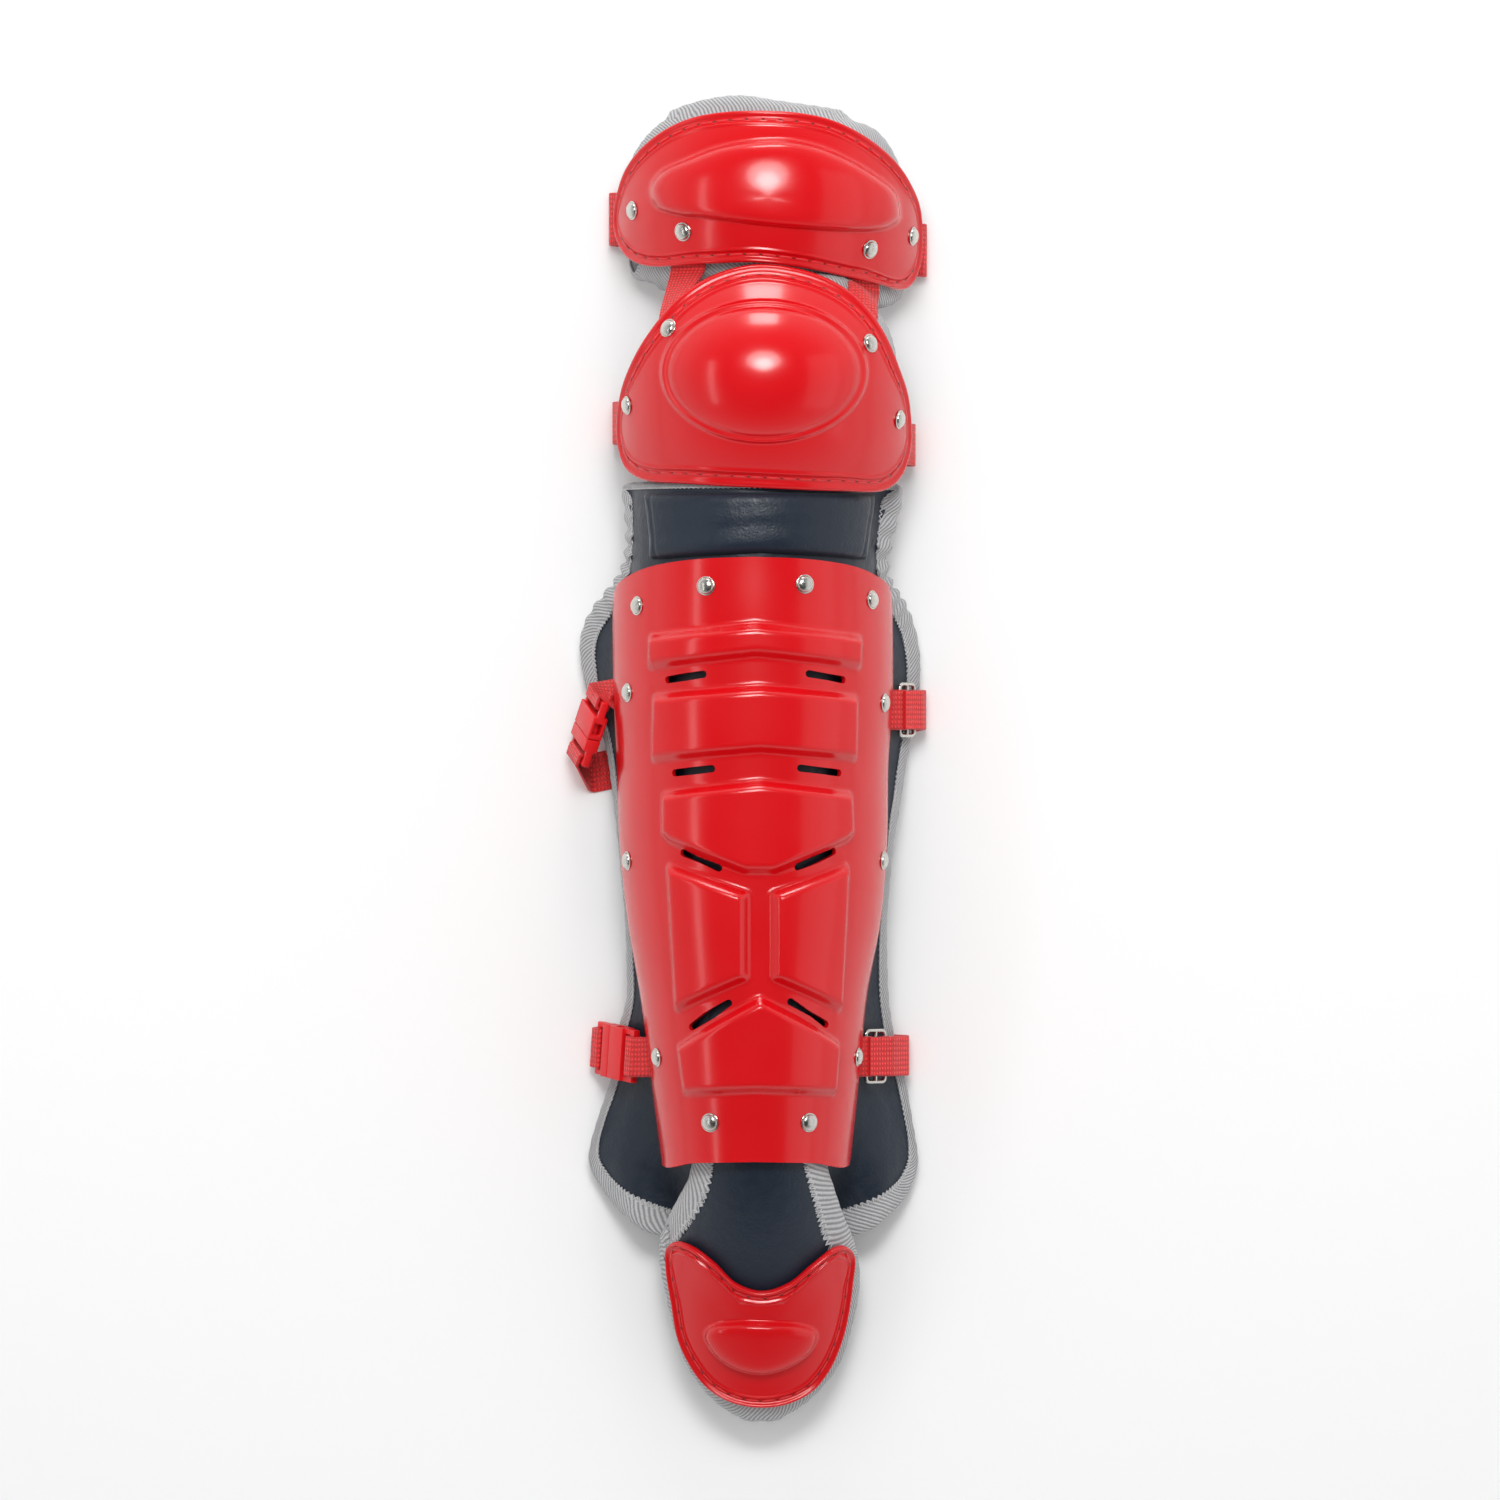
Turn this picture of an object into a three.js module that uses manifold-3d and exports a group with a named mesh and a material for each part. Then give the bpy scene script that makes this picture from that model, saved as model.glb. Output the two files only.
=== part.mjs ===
// A baseball catcher's leg guard lying on its back, shells up. Millimetres, +Z up,
// +Y toward the thigh, +X to the wearer's right as it is looked down on.
import * as THREE from "three";
import { mergeVertices } from "three/addons/utils/BufferGeometryUtils.js";
import Module from "manifold-3d";

const wasm = await Module();
wasm.setup();

// Walls and layers, each one under the last
const SHELL = 2.5;
const WEBBING = 1.4;
const VINYL = 1.0;
const PAD = 10;
const THIN_PAD = 7;
const AIR = 0.8;
const TOUCH = 0.3;
const FLAT_ENOUGH = 0.12;
const WEB_AIR = 2;
const WEB_DEPTH = SHELL + WEB_AIR;
const VINYL_DEPTH = WEB_DEPTH + WEBBING + AIR;
const PAD_DEPTH = VINYL_DEPTH + VINYL + AIR;

// Driving sizes of the four moulded shells
const THIGH = { width: 145, height: 83, drop: 60, crown: 82, endDrop: 11, relief: 6, x: 8.5 };
const KNEE = { width: 138, height: 107, drop: 58, crown: 107, relief: 4.5, x: 6.6 };
const KNEE_TOP_DROP = 28;
const KNEE_END_DROP = 22;
const SHIN = { width: 132, length: 283, drop: 56, crown: 92, relief: 5, slope: 5, x: 1.2 };
const TOE = { width: 90, height: 78.5, relief: 5, x: 4.7 };
const BRIDGE_SHOWN = 30.5;
const KNEE_OVERLAP = 10.8;
const TONGUE_SHOWN = 39;
const SHIN_TOP = 95;
const SHIN_END = SHIN_TOP - SHIN.length;
const KNEE_BOTTOM = SHIN_TOP + BRIDGE_SHOWN;
const KNEE_MIDDLE = KNEE_BOTTOM + KNEE.height / 2;
const THIGH_BOTTOM = KNEE_BOTTOM + KNEE.height - KNEE_OVERLAP;
const THIGH_MIDDLE = THIGH_BOTTOM + THIGH.height / 2;
const TOE_TOP = SHIN_END - TONGUE_SHOWN;
const TOE_MIDDLE = TOE_TOP - TOE.height / 2;

// Fastenings
const THIGH_WEB = 25;
const KNEE_WEB = 20;
const CALF_WEB = 19;
const LINK_WEB = 21;
const RIVET = { head: 9, rise: 2.2, shank: 4 };
const BUCKLE = { width: 25, thickness: 7, rail: 3.4, bar: 3, span: 30, window: 4.6 };
const WIRE = 2;
const SLIDE_PITCH = 6;
const FLOOR_CLEAR = 3;
const FLOOR_SQUASH = 0.6;

// Colours
const RED = 0xd80f18;
const NAVY = 0x2c3947;
const GREY = 0xb9b9b8;
const NICKEL = 0xc9c9c4;

const guard = new THREE.Group();
const V = (x, y, z) => new THREE.Vector3(x, y, z);

function finish(colour, roughness, metalness = 0) {
  return new THREE.MeshStandardMaterial({ color: colour, roughness, metalness, side: THREE.DoubleSide });
}

const FINISHES = {
  plastic: finish(RED, 0.15),
  webbing: finish(RED, 0.8),
  vinyl: finish(NAVY, 0.5),
  mesh: finish(GREY, 0.9),
  nickel: finish(NICKEL, 0.25, 1),
};

// Smooth value of one named column of a table whose rows are sorted by their column "at"
function column(table, key, at) {
  const last = table.length - 1;
  if (at <= table[0].at) return table[0][key];
  if (at >= table[last].at) return table[last][key];
  const i = table.findIndex((row) => row.at > at) - 1;
  const slope = (k) => {
    const a = table[Math.max(0, k - 1)];
    const b = table[Math.min(last, k + 1)];
    return (b[key] - a[key]) / (b.at - a.at);
  };
  const [p, q] = [table[i], table[i + 1]];
  const step = q.at - p.at;
  const s = (at - p.at) / step;
  const s2 = s * s;
  const s3 = s2 * s;
  return (
    (2 * s3 - 3 * s2 + 1) * p[key] +
    (s3 - 2 * s2 + s) * step * slope(i) +
    (3 * s2 - 2 * s3) * q[key] +
    (s3 - s2) * step * slope(i + 1)
  );
}

// A closed surface from rings of equal length, capped by a fan at each end
function lofted(rings) {
  const count = rings[0].length;
  const places = rings.flat().flatMap((p) => [p.x, p.y, p.z]);
  const caps = [rings[0], rings[rings.length - 1]].map((ring) => {
    const middle = ring.reduce((sum, p) => sum.add(p), V(0, 0, 0)).divideScalar(count);
    places.push(middle.x, middle.y, middle.z);
    return places.length / 3 - 1;
  });
  const faces = [];
  const end = (rings.length - 1) * count;
  for (let i = 0; i < count; i++) {
    const j = (i + 1) % count;
    faces.push(caps[0], i, j, end + i, caps[1], end + j);
    for (let k = 0; k < end; k += count)
      faces.push(k + i, k + count + i, k + count + j, k + i, k + count + j, k + j);
  }
  return outward(places, faces);
}

// The same surface with its faces turned out, as a buffer geometry
function outward(places, faces) {
  const at = (i) => V(places[3 * i], places[3 * i + 1], places[3 * i + 2]);
  let volume = 0;
  for (let i = 0; i < faces.length; i += 3)
    volume += at(faces[i]).dot(at(faces[i + 1]).cross(at(faces[i + 2])));
  if (volume < 0) for (let i = 0; i < faces.length; i += 3) [faces[i], faces[i + 1]] = [faces[i + 1], faces[i]];
  const geometry = new THREE.BufferGeometry();
  geometry.setAttribute("position", new THREE.Float32BufferAttribute(places, 3));
  geometry.setIndex(faces);
  return geometry;
}

// A slab between two sheets of points, top(u, v) and bottom(u, v), closed round its rim
function slab(across, along, top, bottom) {
  const sheets = [top, bottom].map((sheet) => along.map((v) => across.map((u) => sheet(u, v))));
  const places = sheets.flat(2).flatMap((p) => [p.x, p.y, p.z]);
  const columns = across.length;
  const rows = along.length;
  const index = (side, row, col) => (side * rows + row) * columns + col;
  const faces = [];
  const quad = (a, b, c, d) => faces.push(a, b, c, a, c, d);
  const turned = (a, b, c, d) => faces.push(a, c, b, a, d, c);
  for (let row = 0; row < rows - 1; row++)
    for (let col = 0; col < columns - 1; col++) {
      const corners = [[row, col], [row, col + 1], [row + 1, col + 1], [row + 1, col]];
      quad(...corners.map(([r, c]) => index(0, r, c)));
      turned(...corners.map(([r, c]) => index(1, r, c)));
    }
  for (let col = 0; col < columns - 1; col++) {
    quad(index(0, 0, col + 1), index(0, 0, col), index(1, 0, col), index(1, 0, col + 1));
    const end = rows - 1;
    quad(index(0, end, col), index(0, end, col + 1), index(1, end, col + 1), index(1, end, col));
  }
  for (let row = 0; row < rows - 1; row++) {
    quad(index(0, row, 0), index(0, row + 1, 0), index(1, row + 1, 0), index(1, row, 0));
    const end = columns - 1;
    quad(index(0, row + 1, end), index(0, row, end), index(1, row, end), index(1, row + 1, end));
  }
  return outward(places, faces);
}

function solidOf(geometry) {
  const bare = geometry.index ? geometry.toNonIndexed() : geometry.clone();
  bare.deleteAttribute("normal");
  bare.deleteAttribute("uv");
  const merged = mergeVertices(bare, 1e-4);
  return new wasm.Manifold(
    new wasm.Mesh({
      numProp: 3,
      vertProperties: new Float32Array(merged.attributes.position.array),
      triVerts: new Uint32Array(merged.index.array),
    }),
  );
}

function geometryOf(solid) {
  const mesh = solid.getMesh();
  const places = [];
  for (let i = 0; i < mesh.numVert; i++)
    places.push(...mesh.vertProperties.subarray(i * mesh.numProp, i * mesh.numProp + 3));
  const geometry = new THREE.BufferGeometry();
  geometry.setAttribute("position", new THREE.Float32BufferAttribute(places, 3));
  geometry.setIndex(Array.from(mesh.triVerts));
  return geometry;
}

function cutFrom(geometry, tools) {
  const cut = tools.reduce((solid, tool) => solid.subtract(solidOf(tool)), solidOf(geometry));
  return geometryOf(cut.simplify(FLAT_ENOUGH));
}

function joined(parts) {
  return geometryOf(parts.slice(1).reduce((solid, part) => solid.add(solidOf(part)), solidOf(parts[0])));
}

function add(name, geometry, material) {
  const mesh = new THREE.Mesh(geometry, FINISHES[material]);
  mesh.name = name;
  guard.add(mesh);
  return mesh;
}

// Radius and half angle of an arc with a given half width and drop
function arcOf(half, drop) {
  const angle = 2 * Math.atan(drop / half);
  return { angle, radius: half / Math.sin(angle) };
}

// A bent sheet: section(side, y) gives the arc across it at a place along the leg
class Form {
  constructor(x, section) {
    this.x = x;
    this.section = section;
  }
  on(a, y) {
    const { radius, crest } = this.section(Math.sign(a) || 1, y);
    const turn = a / radius;
    return V(this.x + radius * Math.sin(turn), y, crest - radius * (1 - Math.cos(turn)));
  }
  normal(a, y) {
    const step = 0.5;
    const across = this.on(a + step, y).sub(this.on(a - step, y));
    const along = this.on(a, y + step).sub(this.on(a, y - step));
    return across.cross(along).normalize();
  }
  under(a, y, depth) {
    return this.on(a, y).addScaledVector(this.normal(a, y), -depth);
  }
  unrolled(x, y) {
    const { radius } = this.section(Math.sign(x) || 1, y);
    return radius * Math.asin(Math.min(1, Math.max(-1, x / radius)));
  }
}

function domeForm(size, middle, crestDrop) {
  const arc = arcOf(size.width / 2, size.drop);
  const form = new Form(size.x, (side, y) => {
    const share = (y - middle) / (size.height / 2);
    return { radius: arc.radius, crest: size.crown - crestDrop(share) };
  });
  form.arc = arc;
  return form;
}

const thighForm = domeForm(THIGH, THIGH_MIDDLE, (v) => THIGH.endDrop * Math.min(1, v * v));
const kneeForm = domeForm(KNEE, KNEE_MIDDLE, (v) => (v > 0 ? KNEE_TOP_DROP : KNEE_END_DROP) * v * v);

// Sections of the shin shell from its top edge, 0, to its bottom edge, 1
const SHIN_SECTIONS = [
  { at: 0.0, left: 0.985, right: 0.985, drop: 1.0, crest: 0.98 },
  { at: 0.1, left: 1.0, right: 1.0, drop: 1.0, crest: 0.99 },
  { at: 0.24, left: 0.99, right: 1.0, drop: 0.99, crest: 1.0 },
  { at: 0.34, left: 0.97, right: 0.97, drop: 0.98, crest: 1.0 },
  { at: 0.47, left: 0.95, right: 0.96, drop: 0.95, crest: 1.0 },
  { at: 0.6, left: 0.893, right: 0.915, drop: 0.9, crest: 1.0 },
  { at: 0.73, left: 0.8, right: 0.815, drop: 0.84, crest: 0.985 },
  { at: 0.87, left: 0.722, right: 0.758, drop: 0.78, crest: 0.96 },
  { at: 1.0, left: 0.65, right: 0.7, drop: 0.72, crest: 0.93 },
];
const shinShare = (y) => (SHIN_TOP - y) / SHIN.length;
const shinPlace = (share) => SHIN_TOP - share * SHIN.length;

function shinArc(side, y) {
  const t = shinShare(y);
  const half = (column(SHIN_SECTIONS, side < 0 ? "left" : "right", t) * SHIN.width) / 2;
  return arcOf(half, column(SHIN_SECTIONS, "drop", t) * SHIN.drop);
}
const shinForm = new Form(SHIN.x, (side, y) => ({
  radius: shinArc(side, y).radius,
  crest: column(SHIN_SECTIONS, "crest", shinShare(y)) * SHIN.crown,
}));

// The tongue's path over the instep: radius across and height of its top, by places down the leg
const TONGUE_TOP = SHIN_END + 35;
const TONGUE_END = TOE_TOP - TOE.height - 5.6;
const TONGUE_LENGTH = TONGUE_TOP - TONGUE_END;
const TONGUE_SECTIONS = [
  { at: 0.0, radius: 40, crest: 82.6 },
  { at: 0.22, radius: 40, crest: 79.8 },
  { at: 0.34, radius: 43, crest: 74.5 },
  { at: 0.46, radius: 48, crest: 65.5 },
  { at: 0.61, radius: 52.8, crest: 53 },
  { at: 0.77, radius: 52.8, crest: 42.5 },
  { at: 0.9, radius: 52.8, crest: 33.5 },
  { at: 1.0, radius: 52.8, crest: 28 },
];
const tongueForm = new Form(TOE.x, (side, y) => {
  const t = (TONGUE_TOP - y) / TONGUE_LENGTH;
  return {
    radius: column(TONGUE_SECTIONS, "radius", t),
    crest: column(TONGUE_SECTIONS, "crest", t),
  };
});

// A closed outline through points given as shares of a half width and half height,
// unrolled onto a form, as evenly spaced points
function outlineOn(form, size, middle, shares, count) {
  const flat = shares.map(([u, v]) => {
    const y = middle + (v * size.height) / 2;
    return V(form.unrolled((u * size.width) / 2, y), y, 0);
  });
  return new THREE.CatmullRomCurve3(flat, true, "centripetal").getSpacedPoints(count).slice(0, count);
}

// Distance from a centre to a closed outline along a direction
function reach(outline, centre, direction) {
  let best = 0;
  outline.forEach((p, i) => {
    const q = outline[(i + 1) % outline.length];
    const edge = q.clone().sub(p);
    const turn = direction.x * edge.y - direction.y * edge.x;
    if (Math.abs(turn) < 1e-9) return;
    const gap = p.clone().sub(centre);
    const along = (gap.x * edge.y - gap.y * edge.x) / turn;
    const share = (gap.x * direction.y - gap.y * direction.x) / turn;
    if (share >= -1e-9 && share <= 1 + 1e-9 && along > best) best = along;
  });
  return best;
}

// A moulded cap: rings round a centre, rising into a boss and ending in a stitched flange.
// Rows of boss rings hold a share of the boss outline and a height share of its relief.
const FLANGE = [
  { inset: 8, lift: 0 },
  { inset: 5.5, lift: -0.6 },
  { inset: 1.5, lift: 0.7 },
  { inset: 0, lift: -0.5 },
];

function mouldedCap(form, outline, boss, centre, relief, rows, depth) {
  const count = outline.length;
  const rays = outline.map((p, i) => {
    const direction = p.clone().sub(centre);
    const length = direction.length();
    direction.divideScalar(length);
    const before = outline[(i + count - 1) % count];
    const edge = outline[(i + 1) % count].clone().sub(before).normalize();
    const square = Math.max(0.5, Math.abs(direction.x * edge.y - direction.y * edge.x));
    return { direction, length, square, foot: reach(boss, centre, direction) };
  });
  const ring = (distance, height) =>
    rays.map((ray) => {
      const p = centre.clone().addScaledVector(ray.direction, distance(ray));
      return form.under(p.x, p.y, depth - height);
    });
  const inset = (far) => (ray) => ray.length - far / ray.square;
  const between = (ray) => (ray.foot + inset(FLANGE[0].inset)(ray)) / 2;
  const bossRings = (drop) =>
    rows.map((row) => ring((ray) => ray.foot * row.out, row.high * relief - drop));
  const outer = [
    ...bossRings(0),
    ring(between, 0),
    ...FLANGE.map((row) => ring(inset(row.inset), row.lift)),
  ];
  const inner = [
    ring(inset(0), -SHELL * 0.8),
    ring(inset(FLANGE[2].inset), -SHELL),
    ring(inset(FLANGE[0].inset), -SHELL),
    ring(between, -SHELL),
    ...bossRings(SHELL).reverse(),
  ];
  return lofted([...outer, ...inner]);
}

const BOSS_ROWS = [
  { out: 0.5, high: 1.0 },
  { out: 0.88, high: 0.85 },
  { out: 1.0, high: 0 },
];
const KNEE_ROWS = [
  { out: 0.45, high: 1.2 },
  { out: 0.84, high: 0.7 },
  { out: 0.9, high: 0.25 },
  { out: 0.95, high: 0.45 },
  { out: 1.0, high: 0 },
];

const THIGH_OUTLINE = [
  [-0.506, 0.92], [-0.812, 0.614], [-0.961, 0.205], [-1.0, -0.227], [-0.948, -0.568], [-0.8, -0.75],
  [-0.44, -0.75], [-0.084, -0.739], [0.208, -0.795], [0.662, -0.943], [0.909, -0.99], [0.994, -0.625],
  [0.994, -0.17], [0.916, 0.227], [0.708, 0.625], [0.37, 0.92], [-0.084, 1.0],
];
const THIGH_BOSS = [
  [0.09, 0.67], [-0.273, 0.614], [-0.52, 0.466], [-0.72, 0.295], [-0.773, 0.114], [-0.74, -0.08],
  [-0.636, -0.17], [-0.422, -0.227], [-0.026, -0.318], [0.305, -0.364], [0.636, -0.375], [0.805, -0.318],
  [0.864, -0.205], [0.844, 0.057], [0.72, 0.261], [0.52, 0.466], [0.305, 0.614],
];
const KNEE_OUTLINE = [
  [-0.05, 1.0], [-0.333, 0.912], [-0.571, 0.719], [-0.762, 0.439], [-0.898, 0.149], [-0.98, -0.167],
  [-1.0, -0.447], [-0.966, -0.728], [-0.844, -0.886], [-0.503, -0.94], [-0.06, -0.974], [0.517, -1.0],
  [0.83, -0.982], [0.959, -0.8], [1.0, -0.535], [0.986, -0.21], [0.918, 0.096], [0.816, 0.404],
  [0.667, 0.667], [0.483, 0.842], [0.245, 0.956],
];
const KNEE_BOSS = { width: 0.69, height: 0.614, rise: 0.044 };
const TOE_OUTLINE = [
  [-0.73, 0.952], [-0.5, 0.772], [-0.26, 0.521], [0.02, 0.425], [0.31, 0.521], [0.57, 0.749],
  [0.81, 0.94], [0.93, 0.94], [1.0, 0.832], [0.99, 0.497], [0.95, 0.138], [0.89, -0.162],
  [0.76, -0.521], [0.57, -0.796], [0.31, -0.952], [0.0, -1.0], [-0.33, -0.928], [-0.59, -0.737],
  [-0.78, -0.437], [-0.89, -0.138], [-0.95, 0.257], [-1.0, 0.677], [-0.99, 0.916], [-0.91, 1.0],
];
const TOE_BOSS = [
  [-0.6, -0.102], [-0.54, 0.018], [-0.26, 0.078], [0.03, 0.078], [0.42, 0.042], [0.6, -0.042],
  [0.62, -0.138], [0.54, -0.305], [0.31, -0.485], [0.03, -0.569], [-0.26, -0.509], [-0.49, -0.329],
].reverse();

function kneeBoss(count) {
  return Array.from({ length: count }, (_, i) => {
    const turn = (2 * Math.PI * i) / count;
    return [KNEE_BOSS.width * Math.cos(turn), KNEE_BOSS.rise + KNEE_BOSS.height * Math.sin(turn)];
  });
}

function rivetTool(form, u, y, halfWidth) {
  const a = form.unrolled(u * halfWidth, y);
  const hole = new THREE.CylinderGeometry(RIVET.shank / 2 + TOUCH, RIVET.shank / 2 + TOUCH, 4 * SHELL, 6);
  return seated(hole, form, a, y, SHELL / 2);
}

// A shape turned from its own +Y to stand square on a form
function seated(geometry, form, a, y, depth) {
  const turn = new THREE.Quaternion().setFromUnitVectors(V(0, 1, 0), form.normal(a, y));
  const place = form.under(a, y, depth);
  return geometry.clone().applyMatrix4(new THREE.Matrix4().compose(place, turn, V(1, 1, 1)));
}

function rivetShape(shank) {
  const r = RIVET.head / 2;
  const profile = [
    [0, -shank], [RIVET.shank / 2, -shank], [RIVET.shank / 2, 0],
    [r, 0], [0, RIVET.rise],
  ];
  return new THREE.LatheGeometry(profile.map(([x, y]) => new THREE.Vector2(x, y)), 8);
}

// Rivets whose shanks end just over the layer that they hold
function addRivets(prefix, form, places, halfWidth, heldAt = () => WEB_DEPTH) {
  places.forEach(([u, y], i) => {
    const a = form.unrolled(u * halfWidth, y);
    const rivet = add(prefix + "_rivet_" + (i + 1), rivetShape(heldAt(i)), "nickel");
    rivet.quaternion.setFromUnitVectors(V(0, 1, 0), form.normal(a, y));
    rivet.position.copy(form.under(a, y, -TOUCH));
  });
}

// Thigh, knee and toe shells, each with its rivet holes
const THIGH_RIVETS = [[-0.88, -0.114], [-0.55, -0.375], [0.66, -0.568], [0.94, -0.398]];
const KNEE_RIVETS = [[-0.65, 0.43], [0.72, 0.298], [-0.93, -0.237], [0.92, -0.36]];
const inPlace = (rows, middle, size) => rows.map(([u, v]) => [u, middle + (v * size.height) / 2]);

const thighRivets = inPlace(THIGH_RIVETS, THIGH_MIDDLE, THIGH);
const kneeRivets = inPlace(KNEE_RIVETS, KNEE_MIDDLE, KNEE);
const thighOutline = outlineOn(thighForm, THIGH, THIGH_MIDDLE, THIGH_OUTLINE, 28);
const kneeOutline = outlineOn(kneeForm, KNEE, KNEE_MIDDLE, KNEE_OUTLINE, 28);
const thighCap = mouldedCap(
  thighForm,
  thighOutline,
  outlineOn(thighForm, THIGH, THIGH_MIDDLE, THIGH_BOSS, 60),
  V(0, THIGH_MIDDLE, 0),
  THIGH.relief,
  BOSS_ROWS,
  0,
);
add(
  "thigh_shell",
  cutFrom(thighCap, thighRivets.map(([u, y]) => rivetTool(thighForm, u, y, THIGH.width / 2))),
  "plastic",
);
const kneeCap = mouldedCap(
  kneeForm,
  kneeOutline,
  outlineOn(kneeForm, KNEE, KNEE_MIDDLE, kneeBoss(24), 60),
  V(0, KNEE_MIDDLE, 0),
  KNEE.relief,
  KNEE_ROWS,
  0,
);
add(
  "knee_shell",
  cutFrom(kneeCap, kneeRivets.map(([u, y]) => rivetTool(kneeForm, u, y, KNEE.width / 2))),
  "plastic",
);
const toeCentre = V(0, TOE_MIDDLE - 0.1 * TOE.height, 0);
add(
  "toe_shell",
  mouldedCap(
    tongueForm,
    outlineOn(tongueForm, TOE, TOE_MIDDLE, TOE_OUTLINE, 28),
    outlineOn(tongueForm, TOE, TOE_MIDDLE, TOE_BOSS, 60),
    toeCentre,
    TOE.relief,
    BOSS_ROWS,
    -(SHELL + 1.6 * AIR),
  ),
  "plastic",
);

// The shin shell: a bent plate with six raised panels, eight vents and its rivet holes
const SHIN_EDGE = [
  { at: 0.0, top: 0, bottom: 0 },
  { at: 0.27, top: 0.9, bottom: 0.4 },
  { at: 0.5, top: 3.2, bottom: 1 },
  { at: 0.64, top: 5.6, bottom: 2.4 },
  { at: 0.78, top: 9, bottom: 3.3 },
  { at: 0.92, top: 13, bottom: 2.2 },
  { at: 1.0, top: 19, bottom: -1.5 },
];
const PANELS = [
  { top: [[-0.74, 0.125], [0.02, 0.105], [0.78, 0.126]], bottom: [[-0.74, 0.192], [0.03, 0.169], [0.77, 0.191]] },
  { top: [[-0.71, 0.223], [0.05, 0.208], [0.75, 0.224]], bottom: [[-0.72, 0.345], [0.05, 0.327], [0.74, 0.343]] },
  { top: [[-0.65, 0.385], [0.05, 0.365], [0.71, 0.385]], bottom: [[-0.65, 0.46], [0.05, 0.53], [0.72, 0.46]] },
  { top: [[-0.62, 0.497], [-0.01, 0.551]], bottom: [[-0.55, 0.762], [-0.01, 0.701]] },
  { top: [[0.11, 0.551], [0.69, 0.497]], bottom: [[0.11, 0.701], [0.63, 0.762]] },
  { top: [[-0.54, 0.806], [0.05, 0.721], [0.62, 0.801]], bottom: [[-0.49, 0.895], [0.02, 0.889], [0.59, 0.895]] },
];
const VENTS = [
  [[-0.6, 0.203], [-0.35, 0.194]], [[0.4, 0.193], [0.64, 0.203]],
  [[-0.55, 0.357], [-0.29, 0.35]], [[0.34, 0.349], [0.61, 0.357]],
  [[-0.49, 0.489], [-0.24, 0.514]], [[0.32, 0.512], [0.57, 0.487]],
  [[-0.43, 0.777], [-0.17, 0.737]], [[0.27, 0.735], [0.52, 0.773]],
];
const VENT_WIDTH = 3.4;
const SHIN_RIVETS = [
  [-0.82, 0.08], [-0.33, 0.048], [0.37, 0.045], [0.85, 0.07], [-0.89, 0.224], [0.94, 0.241],
  [-0.89, 0.503], [0.93, 0.503], [-0.68, 0.829], [0.75, 0.829], [-0.3, 0.935], [0.4, 0.935],
];

const FACING_RIVETS = [0, 1, 2, 3, 6, 7];
const SHORT_RIVETS = [10, 11];

const even = (count) => Array.from({ length: count + 1 }, (_, i) => (2 * i) / count - 1);
const steps = (count) => Array.from({ length: count + 1 }, (_, i) => i / count);

function shinGrid(u, v, depth) {
  const share = Math.abs(u);
  const high = SHIN_TOP - column(SHIN_EDGE, "top", share);
  const low = SHIN_END - column(SHIN_EDGE, "bottom", share);
  const y = high + (low - high) * v;
  const { angle, radius } = shinArc(u, y);
  return shinForm.under(u * angle * radius, y, depth);
}

function alongEdge(edge, share) {
  const at = share * (edge.length - 1);
  const i = Math.min(edge.length - 2, Math.floor(at));
  const f = at - i;
  return [0, 1].map((k) => edge[i][k] * (1 - f) + edge[i + 1][k] * f);
}

function shinPanel({ top, bottom }) {
  const slopeShare = (2 * SHIN.slope) / ((bottom.at(-1)[0] - bottom[0][0]) * SHIN.width);
  const inside = steps(2 * top.length - 2).map((f) => slopeShare + f * (1 - 2 * slopeShare));
  const spread = [0, ...inside, 1];
  const rows = [0, 0.13, 0.87, 1];
  const at = (s, t, depth) => {
    const [high, low] = [alongEdge(top, s), alongEdge(bottom, s)];
    const [u, share] = [0, 1].map((k) => high[k] * (1 - t) + low[k] * t);
    const y = shinPlace(share);
    return shinForm.under(shinForm.unrolled((u * SHIN.width) / 2, y), y, depth);
  };
  const raised = (s, t) => (s === 0 || s === 1 || t === 0 || t === 1 ? 0 : -SHIN.relief);
  return slab(spread, rows, (s, t) => at(s, t, raised(s, t)), (s, t) => at(s, t, SHELL / 2));
}

function ventTool([from, to]) {
  const ends = [from, to].map(([u, share]) => {
    const y = shinPlace(share);
    return V(shinForm.unrolled((u * SHIN.width) / 2, y), y, 0);
  });
  const middle = ends[0].clone().add(ends[1]).divideScalar(2);
  const half = ends[0].distanceTo(ends[1]) / 2;
  const r = VENT_WIDTH / 2;
  const shape = new THREE.Shape();
  shape.absarc(half, 0, r, -Math.PI / 2, Math.PI / 2);
  shape.absarc(-half, 0, r, Math.PI / 2, (3 * Math.PI) / 2);
  shape.closePath();
  const deep = SHIN.relief + 4 * SHELL;
  const tool = new THREE.ExtrudeGeometry(shape, { depth: deep, bevelEnabled: false, curveSegments: 2 });
  tool.translate(0, 0, -deep / 2);
  const ahead = ends[1].clone().sub(ends[0]).normalize();
  const from3 = shinForm.on(middle.x - ahead.x, middle.y - ahead.y);
  const along = shinForm.on(middle.x + ahead.x, middle.y + ahead.y).sub(from3).normalize();
  const out = shinForm.normal(middle.x, middle.y);
  const turn = new THREE.Matrix4().makeBasis(along, out.clone().cross(along), out);
  return tool.applyMatrix4(turn.setPosition(shinForm.under(middle.x, middle.y, 0)));
}

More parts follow.
